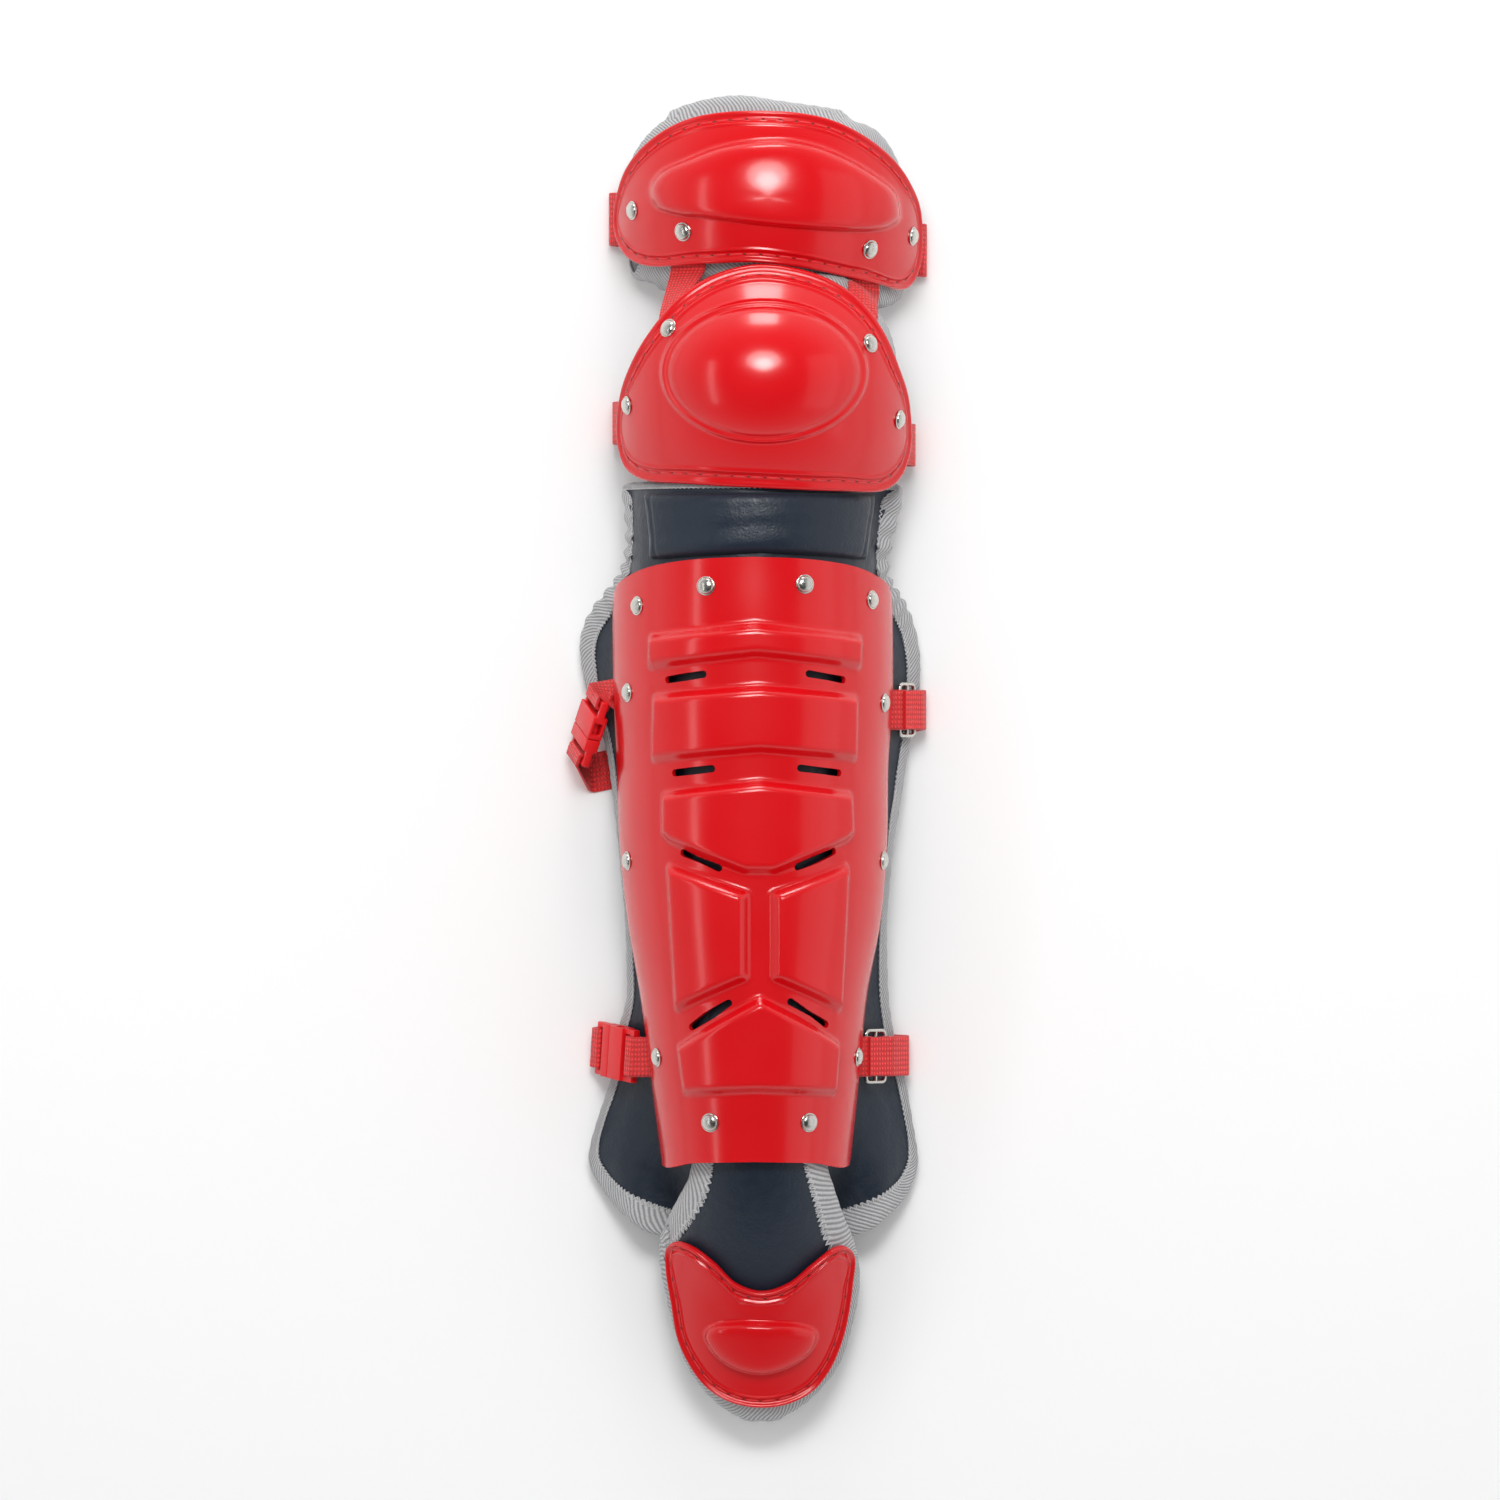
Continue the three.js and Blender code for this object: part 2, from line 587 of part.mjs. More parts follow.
const shinRivets = SHIN_RIVETS.map(([u, share]) => [u, shinPlace(share)]);
const shinPlate = slab(even(10), steps(6), (u, v) => shinGrid(u, v, 0), (u, v) => shinGrid(u, v, SHELL));
add(
  "shin_shell",
  cutFrom(joined([shinPlate, ...PANELS.map(shinPanel)]), [
    ...VENTS.map(ventTool),
    ...shinRivets.map(([u, y]) => rivetTool(shinForm, u, y, SHIN.width / 2)),
  ]),
  "plastic",
);

addRivets("thigh", thighForm, thighRivets, THIGH.width / 2);
addRivets("knee", kneeForm, kneeRivets, KNEE.width / 2);
addRivets("shin", shinForm, shinRivets, SHIN.width / 2, (i) => {
  if (FACING_RIVETS.includes(i)) return VINYL_DEPTH - 3 * TOUCH;
  return SHORT_RIVETS.includes(i) ? SHELL + TOUCH : WEB_DEPTH;
});

// Soft pads. A padded slab's thickness closes toward its rim in a half round.
function roundedDepth(top, thick, inset) {
  const rim = Math.min(1, inset / (thick / 2));
  const shut = (1 - Math.sqrt(1 - (1 - rim) * (1 - rim))) * (thick / 2);
  return { high: top + shut * 0.85, low: top + thick - shut * 0.85 };
}

// Columns and rows of a cushion's grid: close to the rim, then even
const RIM_SHARES = [0, 0.016, 0.055];
function cushionSteps(count) {
  const inside = steps(count).map((s) => RIM_SHARES[2] + s * (1 - 2 * RIM_SHARES[2]));
  return [0, RIM_SHARES[1], ...inside, 1 - RIM_SHARES[1], 1];
}

// A cushion or skin on a form, between an upper and a lower edge that are tables of shares
function cushionOn(form, edges, middle, halfWidth, halfHeight, top, thick, across, along) {
  const at = (s, t, upper) => {
    const u = 2 * s - 1;
    const high = column(edges, "high", u) * halfHeight;
    const low = column(edges, "low", u) * halfHeight;
    const inset = Math.min(s, 1 - s) * 2 * halfWidth;
    const deep = Math.min(t, 1 - t) * (high - low);
    const depth = roundedDepth(top, thick, Math.min(inset, deep));
    return form.under(u * halfWidth, middle + high + (low - high) * t, upper ? depth.high : depth.low);
  };
  return slab(across, along, (s, t) => at(s, t, true), (s, t) => at(s, t, false));
}

const THIGH_PAD_EDGES = [
  { at: -1.0, high: 0.02, low: -0.45 },
  { at: -0.9, high: 0.36, low: -0.84 },
  { at: -0.76, high: 0.57, low: -0.97 },
  { at: -0.5, high: 0.91, low: -1.04 },
  { at: -0.28, high: 1.1, low: -1.0 },
  { at: -0.1, high: 1.16, low: -0.95 },
  { at: 0.14, high: 1.07, low: -1.0 },
  { at: 0.45, high: 0.875, low: -1.13 },
  { at: 0.65, high: 0.625, low: -1.22 },
  { at: 0.78, high: 0.36, low: -1.18 },
  { at: 0.9, high: 0.12, low: -1.08 },
  { at: 1.0, high: -0.1, low: -0.75 },
];
const KNEE_PAD_LOW = 0.89;
const KNEE_PAD_EDGES = [
  { at: -1.0, high: -0.25, low: -0.7 },
  { at: -0.92, high: 0.0, low: -0.84 },
  { at: -0.8, high: 0.2, low: -0.88 },
  { at: -0.62, high: 0.46, low: -KNEE_PAD_LOW },
  { at: -0.42, high: 0.75, low: -KNEE_PAD_LOW },
  { at: -0.05, high: 0.97, low: -KNEE_PAD_LOW },
  { at: 0.32, high: 0.97, low: -KNEE_PAD_LOW },
  { at: 0.5, high: 0.86, low: -KNEE_PAD_LOW },
  { at: 0.62, high: 0.64, low: -KNEE_PAD_LOW },
  { at: 0.74, high: 0.5, low: -KNEE_PAD_LOW },
  { at: 0.9, high: 0.2, low: -0.88 },
  { at: 1.0, high: -0.1, low: -0.7 },
];
const THIGH_PAD_HALF = thighForm.arc.radius * thighForm.arc.angle * 1.07;
const KNEE_PAD_HALF = kneeForm.arc.radius * kneeForm.arc.angle * 1.08;
const thin = cushionSteps(3);
const wide = cushionSteps(10);

add(
  "thigh_pad",
  cushionOn(thighForm, THIGH_PAD_EDGES, THIGH_MIDDLE, THIGH_PAD_HALF, THIGH.height / 2, PAD_DEPTH, PAD, wide, thin),
  "mesh",
);
const FACING_SHARE = 0.89;
const insetEdges = (edges, share) =>
  edges.map((row) => ({ at: row.at, high: row.high - share, low: row.low + share }));
add(
  "thigh_facing",
  cushionOn(
    thighForm,
    insetEdges(THIGH_PAD_EDGES, 0.2).map((row) => ({ ...row, low: Math.min(row.low, row.high - 0.3) })),
    THIGH_MIDDLE,
    THIGH_PAD_HALF * FACING_SHARE,
    THIGH.height / 2,
    VINYL_DEPTH,
    VINYL,
    steps(13),
    steps(3),
  ),
  "vinyl",
);
add(
  "knee_pad",
  cushionOn(
    kneeForm,
    KNEE_PAD_EDGES,
    KNEE_MIDDLE,
    KNEE_PAD_HALF,
    KNEE.height / 2,
    WEB_DEPTH + WEBBING + AIR,
    PAD,
    wide,
    cushionSteps(4),
  ),
  "mesh",
);

// The main pad: an arc under the shin shell that flares into a wing on each side.
// Wing widths and heights by places from its top edge, 0, to the tips of its lobes, 1.
const PAD_TOP = KNEE_MIDDLE - (KNEE_PAD_LOW * KNEE.height) / 2 - 2 * TOUCH;
const PAD_LENGTH = 359;
const WING = 82;
const WINGS = [
  { at: 0.0, left: 0.75, right: 0.86, edge: 31, arc: 0.9 },
  { at: 0.021, left: 0.756, right: 0.865, edge: 32, arc: 0.9 },
  { at: 0.074, left: 0.73, right: 0.817, edge: 30, arc: 0.9 },
  { at: 0.107, left: 0.751, right: 0.788, edge: 27, arc: 0.92 },
  { at: 0.126, left: 0.8, right: 0.805, edge: 24, arc: 0.94 },
  { at: 0.153, left: 0.902, right: 0.885, edge: 17, arc: 0.94 },
  { at: 0.179, left: 0.976, right: 0.939, edge: 11, arc: 0.95 },
  { at: 0.205, left: 1.008, right: 0.966, edge: 8, arc: 0.95 },
  { at: 0.232, left: 1.006, right: 0.98, edge: 6, arc: 0.95 },
  { at: 0.285, left: 0.955, right: 0.967, edge: 5, arc: 0.95 },
  { at: 0.337, left: 0.866, right: 0.92, edge: 9, arc: 0.95 },
  { at: 0.364, left: 0.836, right: 0.897, edge: 12, arc: 0.95 },
  { at: 0.416, left: 0.805, right: 0.862, edge: 17, arc: 0.94 },
  { at: 0.469, left: 0.777, right: 0.822, edge: 21, arc: 0.94 },
  { at: 0.574, left: 0.737, right: 0.78, edge: 25, arc: 0.93 },
  { at: 0.627, left: 0.732, right: 0.783, edge: 25, arc: 0.94 },
  { at: 0.68, left: 0.734, right: 0.793, edge: 20, arc: 0.95 },
  { at: 0.732, left: 0.799, right: 0.829, edge: 13, arc: 0.95 },
  { at: 0.785, left: 0.828, right: 0.89, edge: 8, arc: 0.95 },
  { at: 0.838, left: 0.902, right: 0.927, edge: 5, arc: 0.82 },
  { at: 0.891, left: 0.955, right: 0.963, edge: 5, arc: 0.7 },
  { at: 0.943, left: 0.902, right: 0.951, edge: 6, arc: 0.7 },
  { at: 1.0, left: 0.85, right: 0.9, edge: 8, arc: 0.7 },
];
// Lower edge of the main pad across a wing, as shares of the pad's length
const LOBES = [
  { at: 0.0, low: 0.838 },
  { at: 0.2, low: 0.851 },
  { at: 0.27, low: 0.905 },
  { at: 0.33, low: 0.945 },
  { at: 0.44, low: 0.974 },
  { at: 0.58, low: 1.0 },
  { at: 0.72, low: 0.99 },
  { at: 0.86, low: 0.963 },
  { at: 0.95, low: 0.937 },
  { at: 1.0, low: 0.9 },
];
// The layers sink where the tongue lies over them
const LAYERS = [
  { at: 0.0, sink: 0, thick: 1 },
  { at: 0.755, sink: 0, thick: 1 },
  { at: 0.785, sink: 1, thick: 0.75 },
  { at: 0.86, sink: 1.05, thick: 0.7 },
  { at: 0.93, sink: 1.8, thick: 0.6 },
  { at: 1.0, sink: 2.5, thick: 0.6 },
];
const TONGUE_SLACK = 1.6;
const TONGUE_ROOM = VINYL + AIR + THIN_PAD + AIR + TONGUE_SLACK;

// The main pad's section on one side, by millimetres from its middle; sink lowers a layer
function wingSection(side, share) {
  const y = PAD_TOP - share * PAD_LENGTH;
  const { radius, angle } = shinArc(side, y);
  const crest = column(SHIN_SECTIONS, "crest", shinShare(y)) * SHIN.crown;
  const r = radius - PAD_DEPTH;
  const leave = angle * column(WINGS, "arc", share);
  const start = new THREE.Vector2(r * Math.sin(leave), crest - radius + r * Math.cos(leave));
  const tip = new THREE.Vector2(
    column(WINGS, side < 0 ? "left" : "right", share) * WING,
    column(WINGS, "edge", share),
  );
  const ahead = new THREE.Vector2(Math.cos(leave), -Math.sin(leave)).multiplyScalar(0.5 * start.distanceTo(tip));
  const curve = new THREE.QuadraticBezierCurve(start, start.clone().add(ahead), tip);
  const arcLength = r * leave;
  const wingLength = curve.getLength();
  const at = (s, depth, sink = 0) => {
    const turn = s / r;
    const f = Math.min(1, Math.max(0, (s - arcLength) / wingLength));
    const onArc = s <= arcLength;
    const tangent = curve.getTangentAt(f);
    const out = onArc
      ? new THREE.Vector2(Math.sin(turn), Math.cos(turn))
      : new THREE.Vector2(-tangent.y, tangent.x);
    const place = onArc ? out.clone().multiplyScalar(r).add(new THREE.Vector2(0, crest - radius)) : curve.getPointAt(f);
    place.addScaledVector(out, PAD_DEPTH - depth - sink);
    const floor = FLOOR_CLEAR + FLOOR_SQUASH * Math.max(0, PAD_DEPTH + PAD - depth);
    return V(SHIN.x + side * place.x, y, Math.max(floor, place.y));
  };
  return { at, shellEdge: r * angle, full: arcLength + wingLength };
}

function wingPoint(across, share, depth, sink) {
  const section = wingSection(across < 0 ? -1 : 1, share);
  return section.at(Math.abs(across) * section.full, depth, sink);
}

// The sink fades out across the lobes, between two shares of the section
const SINK_FADE = { from: 0.55, to: 0.8 };
function tongueSink(share, across) {
  const faded = THREE.MathUtils.smoothstep(Math.abs(across), SINK_FADE.from, SINK_FADE.to);
  return Math.max(0, column(LAYERS, "sink", share)) * TONGUE_ROOM * (1 - faded);
}

function mainLayer(top, thick, across, along, rounded) {
  const at = (s, t, upper) => {
    const u = 2 * s - 1;
    const share = column(LOBES, "low", Math.abs(u)) * t;
    const full = thick * (rounded ? column(LAYERS, "thick", share) : 1);
    const inset = Math.min(Math.min(s, 1 - s) * 2 * WING * 1.5, Math.min(t, 1 - t) * PAD_LENGTH);
    const depth = roundedDepth(top, full, rounded ? inset : full);
    return wingPoint(u, share, upper ? depth.high : depth.low, tongueSink(share, u));
  };
  return slab(across, along, (s, t) => at(s, t, true), (s, t) => at(s, t, false));
}

const HALF_COLUMNS = [0, 0.016, 0.055, 0.09, 0.13, 0.17, 0.26, 0.38];
const PAD_COLUMNS = [...HALF_COLUMNS, 0.5, ...HALF_COLUMNS.map((s) => 1 - s).reverse()];
const PAD_ROWS = [
  0, 0.006, 0.018, 0.09, 0.15, 0.21, 0.3, 0.42, 0.56, 0.68, 0.72, 0.76, 0.8, 0.87, 0.905, 0.937, 0.967, 0.985, 0.996, 1,
];
add("main_pad", mainLayer(PAD_DEPTH, PAD, PAD_COLUMNS, PAD_ROWS, true), "mesh");
add("main_facing", mainLayer(VINYL_DEPTH, VINYL, PAD_COLUMNS.slice(2, -2), PAD_ROWS.slice(1, -2), false), "vinyl");

// The cushion in the gap between the knee and shin shells, on the main facing
const BRIDGE = { rise: 3.6, left: -0.66, right: 0.74, taper: 0.07, from: 0.0155, to: 0.0985, sag: 0.009 };
function bridgePoint(s, t, upper) {
  const waist = BRIDGE.taper * t;
  const u = (BRIDGE.left + waist) * (1 - s) + (BRIDGE.right - waist) * s;
  const bend = BRIDGE.sag * t * (1 - Math.abs(2 * s - 1));
  const share = BRIDGE.from + (BRIDGE.to - BRIDGE.from) * t - bend;
  const inset = Math.min(Math.min(s, 1 - s) * WING, Math.min(t, 1 - t) * BRIDGE_SHOWN);
  const high = upper ? 0.6 + BRIDGE.rise * Math.min(1, Math.sqrt(inset / 5)) : 0;
  return wingPoint(u, share, VINYL_DEPTH - AIR - high);
}
add(
  "bridge_cushion",
  slab(
    [0, 0.03, 0.12, 0.25, 0.38, 0.5, 0.62, 0.75, 0.88, 0.97, 1],
    [0, 0.1, 0.3, 0.7, 0.9, 1],
    (s, t) => bridgePoint(s, t, true),
    (s, t) => bridgePoint(s, t, false),
  ),
  "vinyl",
);

// The tongue over the instep: a thin pad with a vinyl skin, under the toe shell
const TONGUE_EDGES = [
  { at: 0.0, left: 0.65, right: 0.63 },
  { at: 0.2, left: 0.69, right: 0.66 },
  { at: 0.3, left: 0.76, right: 0.75 },
  { at: 0.39, left: 0.97, right: 0.88 },
  { at: 0.46, left: 1.065, right: 1.0 },
  { at: 0.53, left: 1.07, right: 1.06 },
  { at: 0.62, left: 1.0, right: 1.05 },
  { at: 0.74, left: 0.91, right: 0.97 },
  { at: 0.84, left: 0.8, right: 0.86 },
  { at: 0.92, left: 0.6, right: 0.64 },
  { at: 0.97, left: 0.4, right: 0.42 },
  { at: 1.0, left: 0.2, right: 0.22 },
];
function tongueLayer(top, thick, insetSide, from, to, across, along, rounded) {
  const at = (s, t, upper) => {
    const share = from + (to - from) * t;
    const y = TONGUE_TOP - share * TONGUE_LENGTH;
    const edge = (key) => tongueForm.unrolled((column(TONGUE_EDGES, key, share) * TOE.width) / 2 - insetSide, y);
    const a = -edge("left") * (1 - s) + edge("right") * s;
    const inset = Math.min(Math.min(s, 1 - s) * TOE.width, Math.min(t, 1 - t) * TONGUE_LENGTH);
    const depth = roundedDepth(top, thick, rounded ? inset : thick);
    return tongueForm.under(a, y, upper ? depth.high : depth.low);
  };
  return slab(across, along, (s, t) => at(s, t, true), (s, t) => at(s, t, false));
}
const TONGUE_ROWS = [0, 0.01, 0.03, 0.14, 0.22, 0.3, 0.38, 0.47, 0.57, 0.72, 0.86, 0.95, 0.985, 1];
add(
  "tongue_pad",
  tongueLayer(VINYL + AIR, THIN_PAD, 0, 0, 1, cushionSteps(6), TONGUE_ROWS, true),
  "mesh",
);
add("tongue_facing", tongueLayer(0, VINYL, 9, 0.02, 0.66, steps(8), steps(12), false), "vinyl");

// Webbing as a slab: line(across, depth) is the path of one thread of it, depth 0 its outer face
function webbing(width, line, columns = 2) {
  const across = steps(columns).map((f) => (f - 0.5) * width);
  const outer = across.map((o) => line(o, 0));
  const inner = across.map((o) => line(o, WEBBING));
  const order = across.map((_, i) => i);
  return slab(order, outer[0].map((_, k) => k), (i, k) => outer[i][k], (i, k) => inner[i][k]);
}

// A path with its corners rounded: places that hold a radius are bent, the others are passed
function bent(places) {
  return places.flatMap(({ p, r = 0 }, i) => {
    if (!r || i === 0 || i === places.length - 1) return [p];
    const back = places[i - 1].p.clone().sub(p);
    const ahead = places[i + 1].p.clone().sub(p);
    const bend = back.angleTo(ahead);
    const cut = Math.min(r / Math.tan(bend / 2), 0.49 * back.length(), 0.49 * ahead.length());
    const start = p.clone().addScaledVector(back.normalize(), cut);
    const end = p.clone().addScaledVector(ahead.normalize(), cut);
    const curve = new THREE.QuadraticBezierCurve3(start, p, end);
    return steps(3).map((f) => curve.getPoint(f));
  });
}

// Webbing's face under a shell, from one angle round its arc to another
function underShell(form, side, y, slope, from, to, o, depth) {
  const { radius } = form.section(side, y);
  return steps(3).map((f) => {
    const turn = from + (to - from) * f;
    const place = y + slope * side * radius * Math.sin(turn) + o;
    return { p: form.under(side * radius * turn, place, WEB_DEPTH + depth) };
  });
}

// A whole strap loop from one edge of a shell round behind the leg to its other edge
function loopStrap(form, strap) {
  const { y, slope, bulge, corner, from, width } = strap;
  const to = form.arc.angle + 0.02;
  return webbing(
    width,
    (o, depth) => {
      const half = (side) => {
        const place = (z) => V(form.x + side * (bulge - depth), y + slope * side * bulge + o, z);
        return [
          ...underShell(form, side, y, slope, from, to, o, depth),
          { p: place(1.7 * corner), r: corner },
          { p: place(depth), r: corner - depth },
        ];
      };
      return bent([...half(-1), ...half(1).reverse()]);
    },
    2,
  );
}

const THIGH_STRAP = {
  y: THIGH_MIDDLE - 0.36 * (THIGH.height / 2), slope: -0.098, bulge: THIGH.width / 2 + 2.7, corner: 6, from: 0.95, width: THIGH_WEB,
};
const KNEE_STRAP = {
  y: KNEE_MIDDLE - 0.47 * (KNEE.height / 2), slope: -0.073, bulge: KNEE.width / 2 + 2.6, corner: 12, from: 1.05, width: KNEE_WEB,
};
add("thigh_strap", loopStrap(thighForm, THIGH_STRAP), "webbing");
add("knee_strap", loopStrap(kneeForm, KNEE_STRAP), "webbing");

// Two short links of webbing that hold the thigh shell to the knee shell: each thread runs
// under the thigh shell's lower edge, then over the knee pad's rim and under the knee shell
const LINK_TAIL = 4.5;
const LINK_PASS = 3;
function link(thighAt, kneeAt) {
  const thighA = thighForm.unrolled(thighAt[0] * (THIGH.width / 2), thighAt[1]);
  const kneeA = kneeForm.unrolled(kneeAt[0] * (KNEE.width / 2), kneeAt[1]);
  const [thighY, kneeY] = [thighAt[1], kneeAt[1]];
  const between = (a, b, share) => a + (b - a) * share;
  return webbing(
    LINK_WEB,
    (o, depth) => {
      const slant = 0.7 * depth;
      const leave = thighY - reach(thighOutline, V(thighA + o, thighY, 0), V(0, -1, 0)) - LINK_PASS;
      const shellTop = KNEE_MIDDLE + reach(kneeOutline, V(kneeA + o, KNEE_MIDDLE, 0), V(0, 1, 0));
      const padTop = KNEE_MIDDLE + column(KNEE_PAD_EDGES, "high", (kneeA + o) / KNEE_PAD_HALF) * (KNEE.height / 2);
      const enter = Math.max(shellTop, padTop);
      const rows = [
        [thighForm, thighA, thighY + LINK_TAIL],
        [thighForm, thighA, thighY],
        [thighForm, thighA, between(thighY, leave, 0.5)],
        [thighForm, thighA, leave - slant],
        [kneeForm, kneeA, enter - slant],
        [kneeForm, kneeA, between(enter, kneeY, 0.5)],
        [kneeForm, kneeA, kneeY],
        [kneeForm, kneeA, kneeY - LINK_TAIL],
      ];
      return rows.map(([form, a, y]) => form.under(a + o, y, WEB_DEPTH + depth));
    },
    2,
  );
}
add("link_webbing_left", link(thighRivets[1], kneeRivets[0]), "webbing");
add("link_webbing_right", link(thighRivets[2], kneeRivets[1]), "webbing");

// The frame in which a buckle or a slide lies: along points away from the shell, up is its face
function fitFrame(place, along, width) {
  const x = along.clone().normalize();
  const y = width.clone().addScaledVector(x, -width.dot(x)).normalize();
  const up = x.clone().cross(y);
  if (up.x * place.x < 0) up.negate();
  const lateral = up.clone().cross(x);
  const at = (d, o, n) =>
    place.clone().addScaledVector(x, d).addScaledVector(y, o).addScaledVector(up, n);
  const matrix = new THREE.Matrix4().makeBasis(x, lateral, up).setPosition(place);
  return { at, matrix };
}

// Webbing wrapped round a bar at d, through the window on the side that sign points to
function wrapped(frame, d, sign, barRadius, o, depth) {
  const r = barRadius + 1.5 * TOUCH + WEBBING - depth;
  return {
    arrive: { p: frame.at(d - sign * 3, o, r) },
    over: { p: frame.at(d + sign * r, o, r), r: 0.5 * r },
    under: { p: frame.at(d + sign * r, o, -r), r: 0.5 * r },
    tail: (length) => ({ p: frame.at(d - sign * length, o, -r) }),
  };
}

// The two halves of a side-release buckle, from the socket's bar at 0 to the plug's bar at span
const HALF = BUCKLE.width / 2;
const SPLIT = 0.58 * BUCKLE.span;
const RAIL_IN = HALF - 2.6;
const POCKET = BUCKLE.thickness - 3;

function block(x0, x1, y0, y1, thick) {
  return new THREE.BoxGeometry(x1 - x0, y1 - y0, thick).translate((x0 + x1) / 2, (y0 + y1) / 2, 0);
}

function railFrame(bar, inward) {
  const [near, far] = [bar - (inward * BUCKLE.bar) / 2, bar + inward * (BUCKLE.bar / 2 + BUCKLE.window + 1)];
  const [from, to] = [bar + (inward * BUCKLE.bar) / 2, bar + inward * (BUCKLE.bar / 2 + BUCKLE.window)];
  const frame = block(Math.min(near, far), Math.max(near, far), -HALF, HALF, BUCKLE.rail);
  return cutFrom(frame, [block(Math.min(from, to), Math.max(from, to), -RAIL_IN, RAIL_IN, 3 * BUCKLE.rail)]);
}

function socketHalf() {
  const shell = block(BUCKLE.bar / 2 + BUCKLE.window, SPLIT, -HALF, HALF, BUCKLE.thickness);
  const pocket = block(SPLIT - 9, SPLIT + 1, -RAIL_IN, RAIL_IN, POCKET);
  const notch = (side) => block(SPLIT - 8, SPLIT - 2.5, side * HALF - 4, side * HALF + 4, POCKET);
  return joined([cutFrom(shell, [pocket, notch(-1), notch(1)]), railFrame(0, 1)]);
}

function plugHalf() {
  const shell = block(SPLIT + TOUCH, BUCKLE.span - BUCKLE.bar / 2 - BUCKLE.window, -HALF, HALF, BUCKLE.thickness);
  const slim = POCKET - 2 * TOUCH;
  const prong = (side) => {
    const middle = side * (RAIL_IN - 3.4);
    return block(SPLIT - 8, SPLIT + 1, middle - 2.2, middle + 2.2, slim);
  };
  return joined([shell, railFrame(BUCKLE.span, -1), prong(-1), prong(1), block(SPLIT - 6, SPLIT + 1, -1.6, 1.6, slim)]);
}

// A wire slide with two windows side by side, its three bars along the webbing's width
function wireSlide(width) {
  const [half, far] = [width / 2, SLIDE_PITCH];
  const rod = (p, q) => {
    const shape = new THREE.CylinderGeometry(WIRE / 2, WIRE / 2, p.distanceTo(q) + WIRE * 0.6, 6);
    const turn = new THREE.Quaternion().setFromUnitVectors(V(0, 1, 0), q.clone().sub(p).normalize());
    return shape.applyMatrix4(new THREE.Matrix4().compose(p.clone().lerp(q, 0.5), turn, V(1, 1, 1)));
  };
  const bars = [-far, 0, far].map((x) => rod(V(x, -half, 0), V(x, half, 0)));
  const ends = [-half, half].map((y) => rod(V(-far, y, 0), V(far, y, 0)));
  return joined([...bars, ...ends]);
}

// The two calf straps: a tab and a buckle on the left, a tab and a slide on the right.
// Each fitting lies past the shell's edge, out from the pad; straps turn past that edge too.
const TAB_HELD = 18;
const TAB_PAST = 2;
const CALF_STRAPS = {
  upper: {
    rows: [4, 5],
    buckle: { past: 16, out: 6, dy: -2, along: V(-0.304, -0.913, -0.27), width: V(-0.25, 0.35, -0.9) },
    slide: { past: 19.5, out: 3.5, dy: -8, along: V(0.57, 0, -0.82) },
    left: { beyond: 12, dy: -38, corner: 4 },
    right: { beyond: 16, high: 10, corner: 4 },
  },
  lower: {
    rows: [8, 9],
    buckle: { past: 16.5, out: 6.5, dy: 0, along: V(-0.53, 0.12, -0.84), width: V(0, 1, 0) },
    slide: { past: 18.5, out: 4.8, dy: 0, along: V(0.74, 0, -0.67) },
    left: { beyond: 23, dy: 4, corner: 4 },
    right: { beyond: 23, high: 14, corner: 5 },
  },
};

